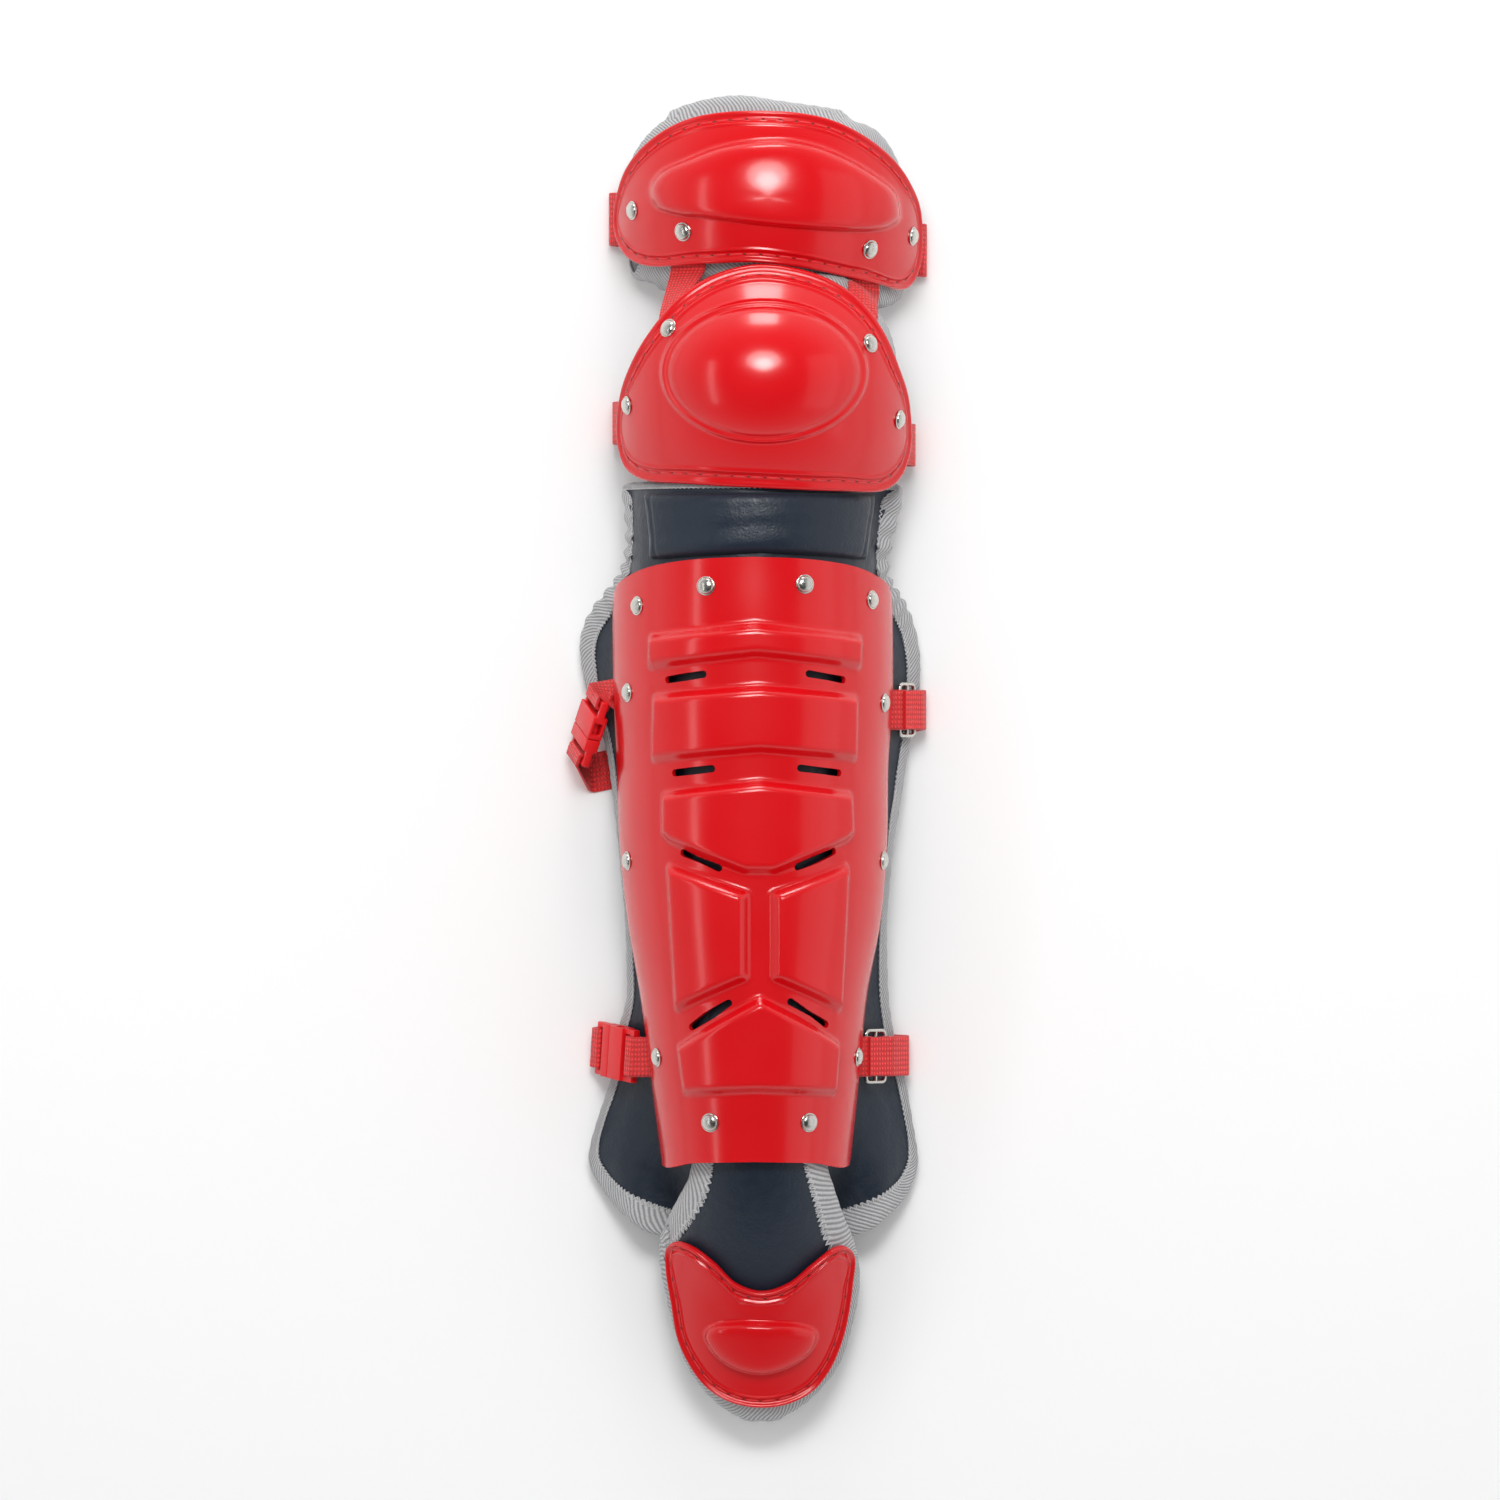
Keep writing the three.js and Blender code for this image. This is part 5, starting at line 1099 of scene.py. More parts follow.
class Cushion:
    """A flat pad bent on a form: its rim is a loop in unrolled millimetres."""

    def __init__(self, spot, rim, top, thick, centre, grow=None, wide=None):
        if grow is not None:
            outward = -rounded(inward_of(rim), 6)
            rim = evenly(rim + outward * rounded(grow(rim), 20)[:, None], len(rim))
        self.spot, self.rim, self.top, self.thick = spot, rim, top, thick
        self.centre = np.array(centre, float)
        self.inward = rounded(inward_of(rim), 6)
        self.wide = np.ones(len(rim)) if wide is None else rounded(wide(rim), 14)
        run = np.linalg.norm(np.roll(rim, -1, 0) - rim, axis=1)
        self.run = np.concatenate([[0], np.cumsum(run)])

    def inner(self, inset):
        return self.rim + self.inward * (inset * self.wide)[:, None]

    def filled(self, name, inset, layers, count=360):
        """A closed shape inside the rim; layers holds rows of share out, depth and added inset."""
        # The loops start at the same place of the rim, so their points pair up
        loops = np.array([evenly(self.inner(inset + more), count) for _, _, more in layers])
        share = np.array([row[0] for row in layers])
        depth = np.array([row[1] for row in layers])

        def place(s, t):
            i = np.round(s * count).astype(int) % count
            k = np.round(t * (len(layers) - 1)).astype(int)
            p = self.centre + (loops[k, i] - self.centre) * share[k][:, None]
            return self.spot(p[:, 0], p[:, 1], depth[k])

        return closed(shaped_grid(name, count, len(layers) - 1, place), gap=0.00002, sharp=60)

    def body(self, name, node):
        """The padding itself, in grey cloth."""
        top, thick = self.top, self.thick
        shares = [0, 0.15, 0.3, 0.45, 0.6, 0.72, 0.82, 0.9, 0.96]
        side = [(0.1, 1.9), (0.3, 1.2), (0.5, 1.0), (0.7, 1.2), (0.9, 1.9)]
        up = [(f, top, 3) for f in shares]
        rim = [(1, top + down * thick, inset) for down, inset in side]
        down = [(f, top + thick, 3) for f in shares[::-1]]
        piece = dress(self.filled(name, 0, up + rim + down), TWILL, "grey_mesh", node)

    def facing(self, name, inset, depth, node):
        """The vinyl skin stretched over the padding's face."""
        shares = [0, 0.12, 0.25, 0.37, 0.5, 0.62, 0.74, 0.84, 0.92, 0.97, 1.0]
        up = [(f, depth + (0.0 if f < 0.95 else 0.5 * (f - 0.95) / 0.05), 0) for f in shares]
        down = [(f, depth + VINYL + (0.0 if f < 0.95 else 0.3), 0) for f in shares[::-1]]
        piece = dress(self.filled(name, inset, up + down, 520), VINYL_SKIN, "navy_vinyl", node)
        loop = self.inner(inset)
        x, y = loop[:, 0], loop[:, 1]
        area = abs(np.sum(x * np.roll(y, -1) - np.roll(x, -1) * y)) / 2
        flat = (float(np.ptp(x)) * MM, float(np.ptp(y)) * MM)

    def bound(self, name, width, pucker):
        """The twill tape round the rim, from a stitched line on the face round to the back."""
        top, thick = self.top, self.thick
        face = top - 1.7
        rows = [
            (width, face + 1.2), (width - 0.2, face + 0.2), (width - 1.2, face), (width - 4, face - 0.1),
            (width * 0.45, face), (width * 0.27, face + 0.5), (1.6, face + 1.4),
            (0.5, face + 0.22 * thick + 1), (0.0, top + thick * 0.45), (0.35, top + thick * 0.7),
            (1.3, top + thick * 0.9), (3.2, top + thick), (8, top + thick + 0.1),
        ]
        table = np.array(rows, float)
        count = len(self.rim)
        total = self.run[-1]
        section = np.concatenate([[0], np.cumsum(np.hypot(*np.diff(table, axis=0).T))])

        def place(s, t):
            i = np.round(s * count).astype(int) % count
            k = np.round(t * (len(rows) - 1)).astype(int)
            run = self.run[i]
            high = pucker(self.rim[i])
            wave = np.sin(run * 2 * np.pi / PUCKER_PITCH + 1.3 * np.sin(run / 9.0)) * high
            inner = np.clip(table[k, 0] / width, 0, 1)
            teeth = np.where(k < 2, TOOTH * (1 - 2 * (i % 2)), 0)
            far = (table[k, 0] + teeth) * self.wide[i] + wave * 0.5 * (1 - inner)
            p = self.rim[i] + self.inward[i] * far[:, None]
            return self.spot(p[:, 0], p[:, 1], table[k, 1] + wave * 0.45 * (0.3 + inner))

        def pattern(s, t):
            k = np.round(t * (len(rows) - 1)).astype(int)
            return np.stack([s * total, section[k]], -1) * MM

        tape = closed(shaped_grid(name, count, len(rows) - 1, place, pattern), gap=0.000005, sharp=70)
        modified(tape, "SOLIDIFY", thickness=BAND_WALL * MM, offset=-1)
        dress(tape, TWILL, "grey_mesh")

    def zigzag(self, name, inset, depth):
        """Zigzag stitches along the tape's inner edge."""
        count = int(self.run[-1] / ZIGZAG_PITCH) * 2
        rows = evenly(np.column_stack([self.rim, self.wide]), count)
        loop, share = rows[:, :2], rows[:, 2]
        inward = rounded(inward_of(loop), 2)
        far = np.where(np.arange(count) % 2 == 0, inset - ZIGZAG_REACH, inset + ZIGZAG_REACH * 0.6) * share
        p = loop + inward * far[:, None]
        spots = self.spot(p[:, 0], p[:, 1], np.full(count, depth))
        ups = spots - self.spot(p[:, 0], p[:, 1], np.full(count, depth + 1.0))
        sewn(name, spots, np.roll(spots, -1, 0), ups, ZIGZAG_THREAD, GREY_THREAD, "grey_mesh")


CALM = 0.25


def calm(p):
    return np.full(len(p), CALM)


def waist_pucker(p):
    """The tape gathers where the main pad is drawn in under the knee."""
    share = (PAD_TOP - p[:, 1]) / PAD_LENGTH
    return CALM + 2.6 * np.exp(-(((share - 0.1) / 0.06) ** 2)) * (np.abs(p[:, 0]) > 40)


def main_wide(rim):
    """The tape is narrow along the hidden top edge and wide round the lobes."""
    share = (PAD_TOP - rim[:, 1]) / PAD_LENGTH
    return np.interp(share, [0.01, 0.02, 0.26, 0.36, 0.86, 0.97], [0.3, 1.0, 0.95, 0.6, 0.55, 1.15])


def thigh_grow(rim):
    """The pad stands out past the shell at the upper corners."""
    up = np.clip((rim[:, 1] - THIGH_MIDDLE + 8) / 20, 0, 1)
    return up * 7 * np.clip(np.abs(rim[:, 0]) / 60, 0, 1) ** 1.5


def thigh_wide(rim):
    """The tape is narrow up the short sides below the shell, so the face shows there."""
    low = rim[:, 1].min()
    side = (rim[:, 1] > low + 11) & (rim[:, 1] < THIGH_MIDDLE - 2)
    return np.where(side, 0.3, 1.0)


def knee_grow(rim):
    """The pad shows past the shell's upper right side."""
    return 4.0 * np.clip((rim[:, 0] - 10) / 20, 0, 1) * np.clip((rim[:, 1] - 150) / 20, 0, 1)


def tongue_grow(rim):
    """The pad is widest between the two shells, where its tape covers the lobes' inner edges."""
    return np.interp(rim[:, 1], [-300, -285, -265, -235, -205, -185, -160], [1, 1.5, 3, 4, 6.5, 5, 1])


def tongue_wide(rim):
    """The tape is widest between the shin shell and the toe's upper corners."""
    return np.interp(rim[:, 1], [-250, -232, -214, -193, -175, -155], [1.2, 2.1, 2.4, 1.8, 1.5, 1.1])


def main_body_spot(a, y, depth):
    """The main pad's places, thinner where the tongue lies over it."""
    share = (PAD_TOP - y) / PAD_LENGTH
    thin = column(LAYERS, 2, share)
    return main_spot(a, y, np.where(depth > PAD_DEPTH, PAD_DEPTH + (depth - PAD_DEPTH) * thin, depth))


main_pad = Cushion(
    main_body_spot, main_rim(), PAD_DEPTH, PAD, (0, PAD_TOP - 0.45 * PAD_LENGTH), wide=main_wide
)
main_pad.body("main_cushion", "main_pad")
main_pad.facing("main_skin", BAND_WIDTH - 1.5, VINYL_DEPTH + 0.3, "main_facing")
main_pad.bound("main_binding", BAND_WIDTH, waist_pucker)
main_pad.zigzag("main_zigzag", BAND_WIDTH - 0.4, PAD_DEPTH - 1.8)

thigh_half = thigh_form.radius * thigh_form.angle * 1.07
thigh_rim = rounded(table_rim(THIGH_PAD_EDGES, thigh_half, THIGH_MIDDLE, THIGH["height"] / 2), 12)
thigh_pad = Cushion(
    thigh_form.under, thigh_rim, PAD_DEPTH, PAD, (0, THIGH_MIDDLE), grow=thigh_grow, wide=thigh_wide
)
thigh_pad.body("thigh_cushion", "thigh_pad")
thigh_pad.facing("thigh_skin", BAND_WIDTH - 1.5, VINYL_DEPTH + 0.3, "thigh_facing")
thigh_pad.bound("thigh_binding", BAND_WIDTH, calm)
thigh_pad.zigzag("thigh_zigzag", BAND_WIDTH - 0.4, PAD_DEPTH - 1.8)

knee_half = knee_form.radius * knee_form.angle * 1.08
knee_rim = table_rim(KNEE_PAD_EDGES, knee_half, KNEE_MIDDLE, KNEE["height"] / 2)
knee_pad = Cushion(
    knee_form.under, knee_rim, VINYL_DEPTH + 1.2, PAD - 1.2, (0, KNEE_MIDDLE - 12), grow=knee_grow
)
knee_pad.body("knee_cushion", "knee_pad")
knee_pad.bound("knee_binding", BAND_WIDTH, calm)

tongue_pad = Cushion(
    tongue_form.under, tongue_rim(), VINYL + AIR, THIN_PAD, (0, TONGUE_TOP - 0.5 * TONGUE_LENGTH),
    grow=tongue_grow, wide=tongue_wide,
)
tongue_pad.body("tongue_cushion", "tongue_pad")
tongue_pad.facing("tongue_skin", 9, 0.6, "tongue_facing")
tongue_pad.bound("tongue_binding", BAND_WIDTH - 1, calm)
tongue_pad.zigzag("tongue_zigzag", BAND_WIDTH - 1.4, VINYL + AIR - 1.8)

# The cushion in the gap between the knee and shin shells
BRIDGE = dict(rise=3.6, left=-0.66, right=0.74, taper=0.07, start=0.0155, end=0.1025, sag=0.009)
BRIDGE_SHOWN = 30.5
BRIDGE_EDGE = 0.35


def bridge_spot(s, t):
    """Places of the bridge cushion: a puffed face over a flat back, seamed at both sides."""
    upper = t <= 0.5
    v = np.where(upper, 2 * t, 2 - 2 * t)
    waist = BRIDGE["taper"] * v
    u = (BRIDGE["left"] + waist) * (1 - s) + (BRIDGE["right"] - waist) * s
    bend = BRIDGE["sag"] * v * (1 - np.abs(2 * s - 1))
    share = BRIDGE["start"] + (BRIDGE["end"] - BRIDGE["start"]) * v - bend
    inset = np.minimum(np.minimum(s, 1 - s) * WING * 1.4, np.minimum(v, 1 - v) * BRIDGE_SHOWN)
    rise = np.clip(inset / 6, 0, 1)
    puff = np.sqrt(rise * (2 - rise))
    seam = 0.55 * np.exp(-(((np.abs(2 * s - 1) - 0.9) / 0.012) ** 2))
    fold = 0.12 * np.sin(v * 17 + 3 * s) * puff
    face = BRIDGE_EDGE + (BRIDGE["rise"] + 0.25 - seam + fold) * puff
    depth = VINYL_DEPTH - AIR - np.where(upper, face, BRIDGE_EDGE - BRIDGE_EDGE * puff)
    y = PAD_TOP - share * PAD_LENGTH
    full = WingSection(np.where(u < 0, -1, 1), y).full
    return main_spot(u * full, y, depth)


bridge = closed(shaped_grid("bridge_pad", 120, 80, bridge_spot), gap=0.00003, sharp=60)
dress(bridge, VINYL_SKIN, "navy_vinyl", "bridge_cushion")


# Webbing
WEB_EDGE = 0.7
WEB_ROUND = 0.3
WEB_SKIN = 0.03
STITCHED_END = 4.5


def unit(v):
    v = np.asarray(v, float)
    return v / np.linalg.norm(v)


def bent(places):
    """A path with its corners rounded: pairs of a place and the radius to bend it by."""
    out = []
    for i, (p, r) in enumerate(places):
        if not r or i == 0 or i == len(places) - 1:
            out.append(p)
            continue
        back, ahead = places[i - 1][0] - p, places[i + 1][0] - p
        bend = math.acos(max(-1, min(1, float(unit(back) @ unit(ahead)))))
        cut = min(r / math.tan(bend / 2), 0.49 * np.linalg.norm(back), 0.49 * np.linalg.norm(ahead))
        start, end = p + unit(back) * cut, p + unit(ahead) * cut
        for f in np.linspace(0, 1, 9):
            out.append((1 - f) ** 2 * start + 2 * f * (1 - f) * p + f * f * end)
    return np.array(out)


def web_strip(name, width, line, nodes):
    """Webbing round a rounded flat section: line(across, depth) is the path of one of its threads."""
    half = width / 2
    outer = np.linspace(-half + WEB_ROUND, half - WEB_ROUND, 9)
    face = [(o, WEB_SKIN) for o in outer]
    back = [(o, WEBBING - WEB_SKIN) for o in outer[::-1]]
    section = [(-half, WEB_EDGE)] + face + [(half, WEB_EDGE)] + back
    across = np.array([o for o, _ in section])
    threads = np.array([line(o, d) for o, d in section])
    count = len(section)
    rows = threads.shape[1]
    spine = threads[[5, 15]].mean(axis=0)
    run = np.concatenate([[0], np.cumsum(np.linalg.norm(np.diff(spine, axis=0), axis=1))])

    def place(s, t):
        return threads[np.round(s * count).astype(int) % count, np.round(t * (rows - 1)).astype(int)]

    def pattern(s, t):
        i = np.round(s * count).astype(int) % count
        k = np.round(t * (rows - 1)).astype(int)
        return np.stack([across[i], run[k]], -1) * MM

    strip = shaped_grid(name, count, rows - 1, place, pattern)
    closed(strip, gap=0.000002, sharp=60, fill=True)
    return dress(strip, WEB, "red_webbing", *nodes)


def loop_line(form, y, slope, bulge, corner, start):
    """Thread of a strap that runs from under one edge of a shell round behind to the other."""

    def line(o, depth):
        def half(side):
            places = []
            for turn in np.linspace(start, form.angle + 0.02, 5):
                place = y + slope * side * form.radius * math.sin(turn) + o
                places.append((form.under(side * form.radius * turn, place, WEB_DEPTH + depth), 0))
            level = y + slope * side * bulge + o
            x = form.x + side * (bulge - depth)
            places.append((np.array([x, level, 1.7 * corner]), corner))
            places.append((np.array([x, level, depth]), corner - depth))
            return places

        return bent(half(-1) + half(1)[::-1])

    return line


thigh_level = THIGH_MIDDLE - 0.36 * THIGH["height"] / 2
thigh_loop = loop_line(thigh_form, thigh_level, -0.098, THIGH["width"] / 2 + 2.7, 6, 0.95)
web_strip("thigh_loop", THIGH_WEB, thigh_loop, ["thigh_strap"])
knee_level = KNEE_MIDDLE - 0.47 * KNEE["height"] / 2
knee_loop = loop_line(knee_form, knee_level, -0.073, KNEE["width"] / 2 + 2.6, 12, 1.05)
web_strip("knee_loop", KNEE_WEB, knee_loop, ["knee_strap"])


def flat_reach(outline, x, y, sign):
    """Distance from a place to an outline straight up or down."""
    rows = np.vstack([outline, outline[:1]])
    best = 0.0
    for p, q in zip(rows[:-1], rows[1:]):
        if (p[0] - x) * (q[0] - x) <= 0 and p[0] != q[0]:
            cross = p[1] + (q[1] - p[1]) * (x - p[0]) / (q[0] - p[0])
            best = max(best, sign * (cross - y))
    return best


def link_line(thigh_at, knee_at):
    """Thread of a link that runs under the thigh shell's edge, then over the knee pad's rim."""
    thigh_y = THIGH_MIDDLE + thigh_at[1] * THIGH["height"] / 2
    knee_y = KNEE_MIDDLE + knee_at[1] * KNEE["height"] / 2
    thigh_a = float(thigh_form.unrolled(thigh_at[0] * THIGH["width"] / 2, thigh_y))
    knee_a = float(knee_form.unrolled(knee_at[0] * KNEE["width"] / 2, knee_y))

    def line(o, depth):
        slant = 0.7 * depth
        leave = thigh_y - flat_reach(CAPS["thigh"].rim, thigh_a + o, thigh_y, -1) - 3
        shell_top = KNEE_MIDDLE + flat_reach(CAPS["knee"].rim, knee_a + o, KNEE_MIDDLE, 1)
        pad_share = float(column(KNEE_PAD_EDGES, 1, (knee_a + o) / knee_half))
        enter = max(shell_top, KNEE_MIDDLE + pad_share * KNEE["height"] / 2)
        rows = [
            (thigh_form, thigh_a, thigh_y + STITCHED_END),
            (thigh_form, thigh_a, thigh_y),
            (thigh_form, thigh_a, (thigh_y + leave) / 2),
            (thigh_form, thigh_a, leave - slant),
            (knee_form, knee_a, enter - slant),
            (knee_form, knee_a, (enter + knee_y) / 2),
            (knee_form, knee_a, knee_y),
            (knee_form, knee_a, knee_y - STITCHED_END),
        ]
        path = np.array([form.under(a + o, y, WEB_DEPTH - 0.6 + depth) for form, a, y in rows])
        return rounded(evenly(path, 60, loop=False), 12, loop=False)

    return line


web_strip("left_link", LINK_WEB, link_line(THIGH_RIVETS[1], KNEE_RIVETS[0]), ["link_webbing_left"])
web_strip("right_link", LINK_WEB, link_line(THIGH_RIVETS[2], KNEE_RIVETS[1]), ["link_webbing_right"])


class Fitting:
    """The frame of a buckle or slide: along points away from the shell, up is its face."""

    def __init__(self, place, along, width):
        self.place = np.asarray(place, float)
        self.along = unit(along)
        width = np.asarray(width, float)
        self.width = unit(width - self.along * (width @ self.along))
        self.up = np.cross(self.along, self.width)
        if self.up[0] * self.place[0] < 0:
            self.up = -self.up

    def at(self, d, o, n):
        """The place d along, o across and n up from the fitting's own place."""
        return self.place + self.along * d + self.width * o + self.up * n


def wrapped(fitting, d, sign, bar, o, depth):
    """Corners of a thread that turns round a bar, and a way to end it behind."""
    r = bar + 1.5 * TOUCH + WEBBING - depth
    arrive = (fitting.at(d - sign * 3, o, r), 0)
    over = (fitting.at(d + sign * r, o, r), 0.5 * r)
    under = (fitting.at(d + sign * r, o, -r), 0.5 * r)
    return arrive, over, under, lambda length: (fitting.at(d - sign * length, o, -r), 0)


CALF_STRAPS = {
    "upper": dict(
        rivets=4,
        buckle=dict(past=16, out=6, dy=-2, along=(-0.304, -0.913, -0.27), width=(-0.25, 0.35, -0.9)),
        slide=dict(past=19.5, out=3.5, dy=-8, along=(0.57, 0, -0.82)),
        left=dict(beyond=12, dy=-38, corner=4),
        right=dict(beyond=16, high=10, corner=4),
    ),
    "lower": dict(
        rivets=8,
        buckle=dict(past=16.5, out=6.5, dy=0, along=(-0.53, 0.12, -0.84), width=(0, 1, 0)),
        slide=dict(past=18.5, out=4.8, dy=0, along=(0.74, 0, -0.67)),
        left=dict(beyond=23, dy=4, corner=4),
        right=dict(beyond=23, high=14, corner=5),
    ),
}


def wing_at(side, y, past, depth):
    """A place on the main pad's wing, past the edge of the shin shell."""
    section = WingSection(np.array([side]), np.array([float(y)]))
    reach = float(section.shell_edge[0]) + past
    return section.at(np.array([reach]), np.array([float(depth)]), np.zeros(1))[0]


WIRE_STEPS = 96
WIRE_SIDES = 12
WIRE_CORNER = 2.2


def wire_slide(name, fitting, node):
    """A bent wire frame with a middle bar, round in section."""
    half, far = (CALF_WEB + 5) / 2, SLIDE_PITCH
    corners = [(far, -half), (far, half), (-far, half), (-far, -half)]
    start = (np.array([0.0, -half, 0.0]), 0)
    loop = bent([start] + [(np.array([x, y, 0.0]), WIRE_CORNER) for x, y in corners] + [start])
    loop = evenly(loop[:-1], WIRE_STEPS)
    ahead = np.roll(loop, -1, 0) - np.roll(loop, 1, 0)
    ahead /= np.linalg.norm(ahead, axis=1, keepdims=True)
    up = np.array([0.0, 0.0, 1.0])
    side = np.cross(ahead, up)
    side /= np.linalg.norm(side, axis=1, keepdims=True)

    def ring(s, t):
        k = np.round(t * WIRE_STEPS).astype(int) % WIRE_STEPS
        turn = 2 * np.pi * np.round(s * WIRE_SIDES) / WIRE_SIDES
        out = side[k] * np.cos(turn)[:, None] + up * np.sin(turn)[:, None]
        return np.array([fitting.at(*v) for v in loop[k] + out * WIRE / 2])

    def bar(s, t):
        turn = 2 * np.pi * np.round(s * WIRE_SIDES) / WIRE_SIDES
        spot = np.stack([np.cos(turn) * WIRE / 2, (t - 0.5) * 2 * half, np.sin(turn) * WIRE / 2], -1)
        return np.array([fitting.at(*v) for v in spot])

    frame_wire = closed(shaped_grid(name, WIRE_SIDES, WIRE_STEPS, ring), sharp=60)
    dress(frame_wire, METAL, "nickel", node)
    middle = closed(shaped_grid(name + "_bar", WIRE_SIDES, 8, bar), sharp=60, fill=True)
    dress(middle, METAL, "nickel")


BUCKLE_BEVEL = 0.6


def moulded_copy(name, node):
    """A copy of a solid with its edges rounded, as the moulding has them."""
    source = bpy.data.objects[node]
    piece = bpy.data.objects.new(name, source.data.copy())
    bpy.context.collection.objects.link(piece)
    edit(
        piece,
        (bpy.ops.mesh.remove_doubles, {"threshold": 0.00001}),
        (bpy.ops.mesh.dissolve_limited, {"angle_limit": math.radians(3)}),
    )
    sharp = math.radians(35)
    modified(
        piece, "BEVEL", width=BUCKLE_BEVEL * MM, segments=3, limit_method="ANGLE", angle_limit=sharp
    )
    bpy.ops.object.shade_smooth_by_angle(angle=math.radians(40))
    dress(piece, BUCKLE_PLASTIC, "red_plastic", node)


KEEPER_LIFT = 4.3
KEEPER_REACH = 7
for strap_name, strap in CALF_STRAPS.items():
    y = shin_place(SHIN_RIVETS[strap["rivets"]][1])
    buckle, slide, left, right = strap["buckle"], strap["slide"], strap["left"], strap["right"]
    socket = Fitting(
        wing_at(-1, y + buckle["dy"], buckle["past"], WEB_DEPTH - buckle["out"]),
        buckle["along"], buckle["width"],
    )
    wire = Fitting(
        wing_at(1, y + slide["dy"], slide["past"], WEB_DEPTH - slide["out"]),
        slide["along"], (0, 1, 0),
    )

    def edge_x(side):
        angle, radius = shin_arc(np.array(side), np.array(float(y)))
        return SHIN["x"] + side * float(radius * np.sin(angle))

    left_x = edge_x(-1) - left["beyond"]
    right_x = edge_x(1) + right["beyond"]

    def tab_start(side, dy, o, depth):
        return [(wing_at(side, y + dy + o, f * 20 - 18, WEB_DEPTH + depth), 0) for f in np.linspace(0, 1, 9)]

    def left_tab(o, depth):
        arrive, over, under, tail = wrapped(socket, 0, 1, RAIL / 2, o, depth)
        return bent(tab_start(-1, buckle["dy"], o, depth) + [arrive, over, under, tail(5)])

    def right_tab(o, depth):
        arrive, over, under, tail = wrapped(wire, -SLIDE_PITCH, 1, WIRE / 2, o, depth)
        return bent(tab_start(1, slide["dy"], o, depth) + [arrive, over, under, tail(4)])

    def calf_line(o, depth):
        p_arrive, p_over, p_under, p_tail = wrapped(socket, SPAN, -1, RAIL / 2, o, depth)
        s_arrive, s_over, s_under, s_tail = wrapped(wire, SLIDE_PITCH, -1, WIRE / 2, o, depth)
        turn_y = y + slide["dy"] + o
        return bent(
            [
                p_tail(2), p_under, p_over, p_arrive,
                (np.array([left_x + depth, y + left["dy"] + o, depth]), left["corner"]),
                (np.array([0, y + (left["dy"] + slide["dy"]) / 2 + o, depth]), 0),
                (np.array([right_x - depth, turn_y, depth]), right["corner"]),
                (np.array([right_x - depth, turn_y, right["high"]]), right["corner"]),
                s_arrive, s_over, s_under, s_tail(5),
            ]
        )

    web_strip(strap_name + "_left_tab_web", CALF_WEB, left_tab, [strap_name + "_tab_left"])
    web_strip(strap_name + "_right_tab_web", CALF_WEB, right_tab, [strap_name + "_tab_right"])
    web_strip(strap_name + "_calf_web", CALF_WEB, calf_line, [strap_name + "_calf_strap"])
    moulded_copy(strap_name + "_socket", strap_name + "_buckle_socket")
    moulded_copy(strap_name + "_plug", strap_name + "_buckle_plug")
    wire_slide(strap_name + "_wire", wire, strap_name + "_slide")

    def keeper(o, depth):
        reach = np.linspace(-KEEPER_REACH, KEEPER_REACH, 6)
        return np.array([wire.at(d, o, KEEPER_LIFT - depth) for d in reach])

    web_strip(strap_name + "_keeper", CALF_WEB - 0.6, keeper, [])


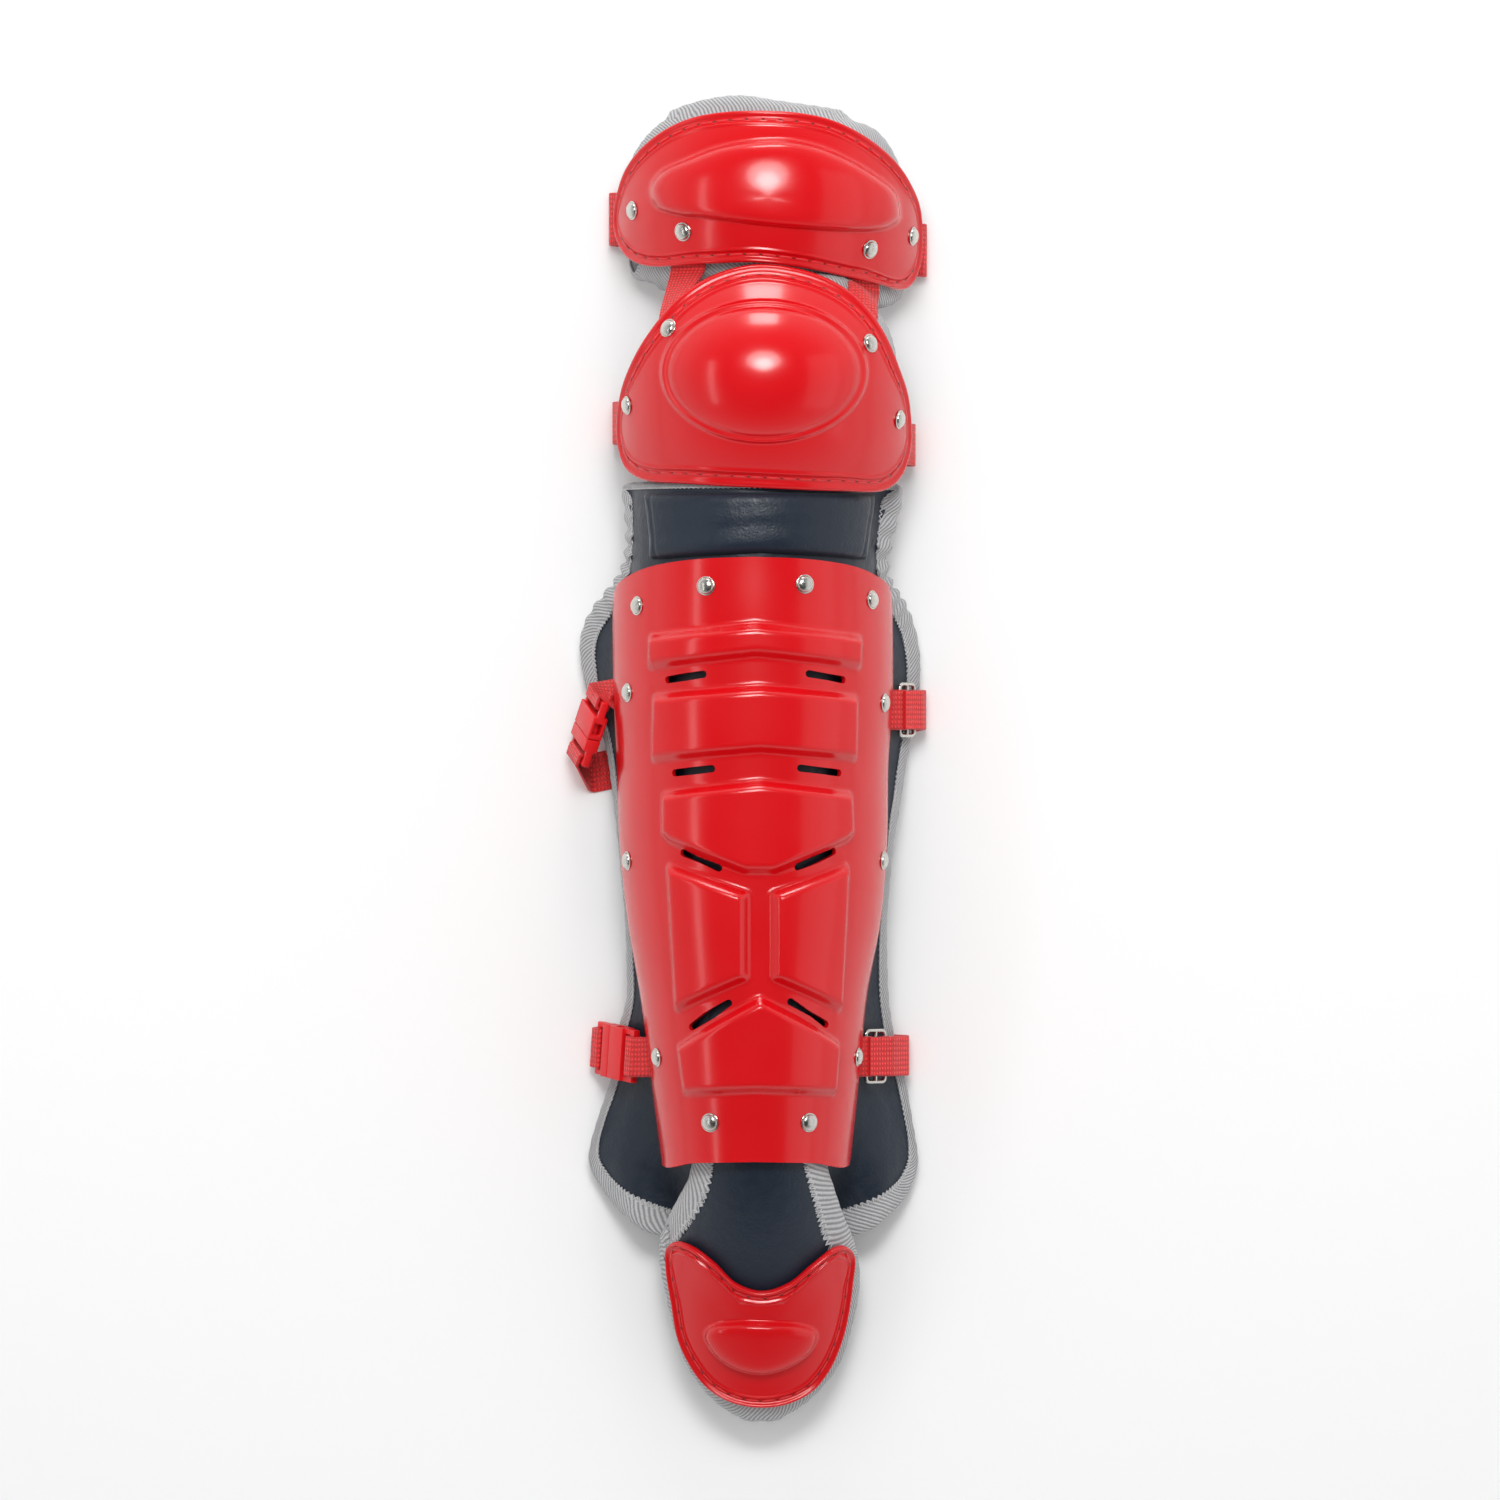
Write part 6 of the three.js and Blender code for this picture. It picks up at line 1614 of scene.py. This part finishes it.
# Floor, light and camera
# Name, place, aim, width, height, power and shape of each light
LIGHTS = [
    ("top_box", (0.0, 0.72, 1.6), (0, 0.1, 0), 0.8, 0.66, 10, "ELLIPSE"),
    ("top_core", (0.0, 0.6, 1.55), (0, 0.1, 0), 0.42, 0.34, 4, "ELLIPSE"),
    ("far_box", (0.0, 1.75, 0.5), (0, 0, 0), 0.5, 0.5, 8, "RECTANGLE"),
    ("left_strip", (-1.25, 0.0, 1.25), (0, 0, 0), 1.5, 0.16, 2.2, "RECTANGLE"),
    ("right_panel", (1.45, 0.0, 1.1), (0, 0, 0), 2.0, 1.0, 3, "RECTANGLE"),
    ("overhead", (0.0, 0.0, 3.2), (0, 0, 0), 6.0, 6.0, 66, "RECTANGLE"),
]
CAMERA_DISTANCE = 7.0
CAMERA_WIDTH = 0.705
CAMERA_UP = 4.7
SENSOR = 36


def studio():
    """White floor, a sky that is bright at the horizon, soft lights and shadowless fill."""
    bpy.ops.object.select_all(action="DESELECT")
    bpy.ops.mesh.primitive_plane_add(size=8)
    floor = bpy.context.object
    floor.name = "floor"
    material, tree, shader = new_material("pale_matt_floor")
    set_inputs(shader, Base_Color=linear("#F7F7F7"), Roughness=0.9)
    floor.data.materials.append(material)

    world = bpy.data.worlds.new("studio")
    bpy.context.scene.world = world
    world.use_nodes = True
    tree = world.node_tree
    back = tree.nodes["Background"]
    way = put(tree, "ShaderNodeTexCoord").outputs["Generated"]
    height = put(tree, "ShaderNodeSeparateXYZ", {"Vector": way}).outputs["Z"]
    back.inputs["Color"].default_value = linear("#FFFFFF")
    fall = put(
        tree,
        "ShaderNodeMapRange",
        {"Value": height, "From Min": 0.1, "From Max": 0.8, "To Min": 0.95, "To Max": 0.05},
    )
    tree.links.new(fall.outputs[0], back.inputs["Strength"])

    for name, place, aim, width, tall, power, shape in LIGHTS:
        light = bpy.data.lights.new(name, "AREA")
        light.shape = shape
        light.size = width
        light.size_y = tall
        light.energy = power
        holder = bpy.data.objects.new(name, light)
        bpy.context.collection.objects.link(holder)
        holder.location = place
        way = Vector(aim) - Vector(place)
        holder.rotation_euler = way.to_track_quat("-Z", "Y").to_euler()
        holder.visible_glossy = name != "overhead"


def camera():
    """A long lens straight above, so that nothing leans."""
    lens = bpy.data.cameras.new("camera")
    lens.sensor_width = SENSOR
    lens.lens = SENSOR * CAMERA_DISTANCE / CAMERA_WIDTH
    holder = bpy.data.objects.new("camera", lens)
    bpy.context.collection.objects.link(holder)
    holder.location = (SHIFT[0] * MM, (CAMERA_UP + SHIFT[1]) * MM, CAMERA_DISTANCE + 0.05)
    bpy.context.scene.camera = holder


studio()
camera()
bpy.context.scene.view_settings.view_transform = "Standard"
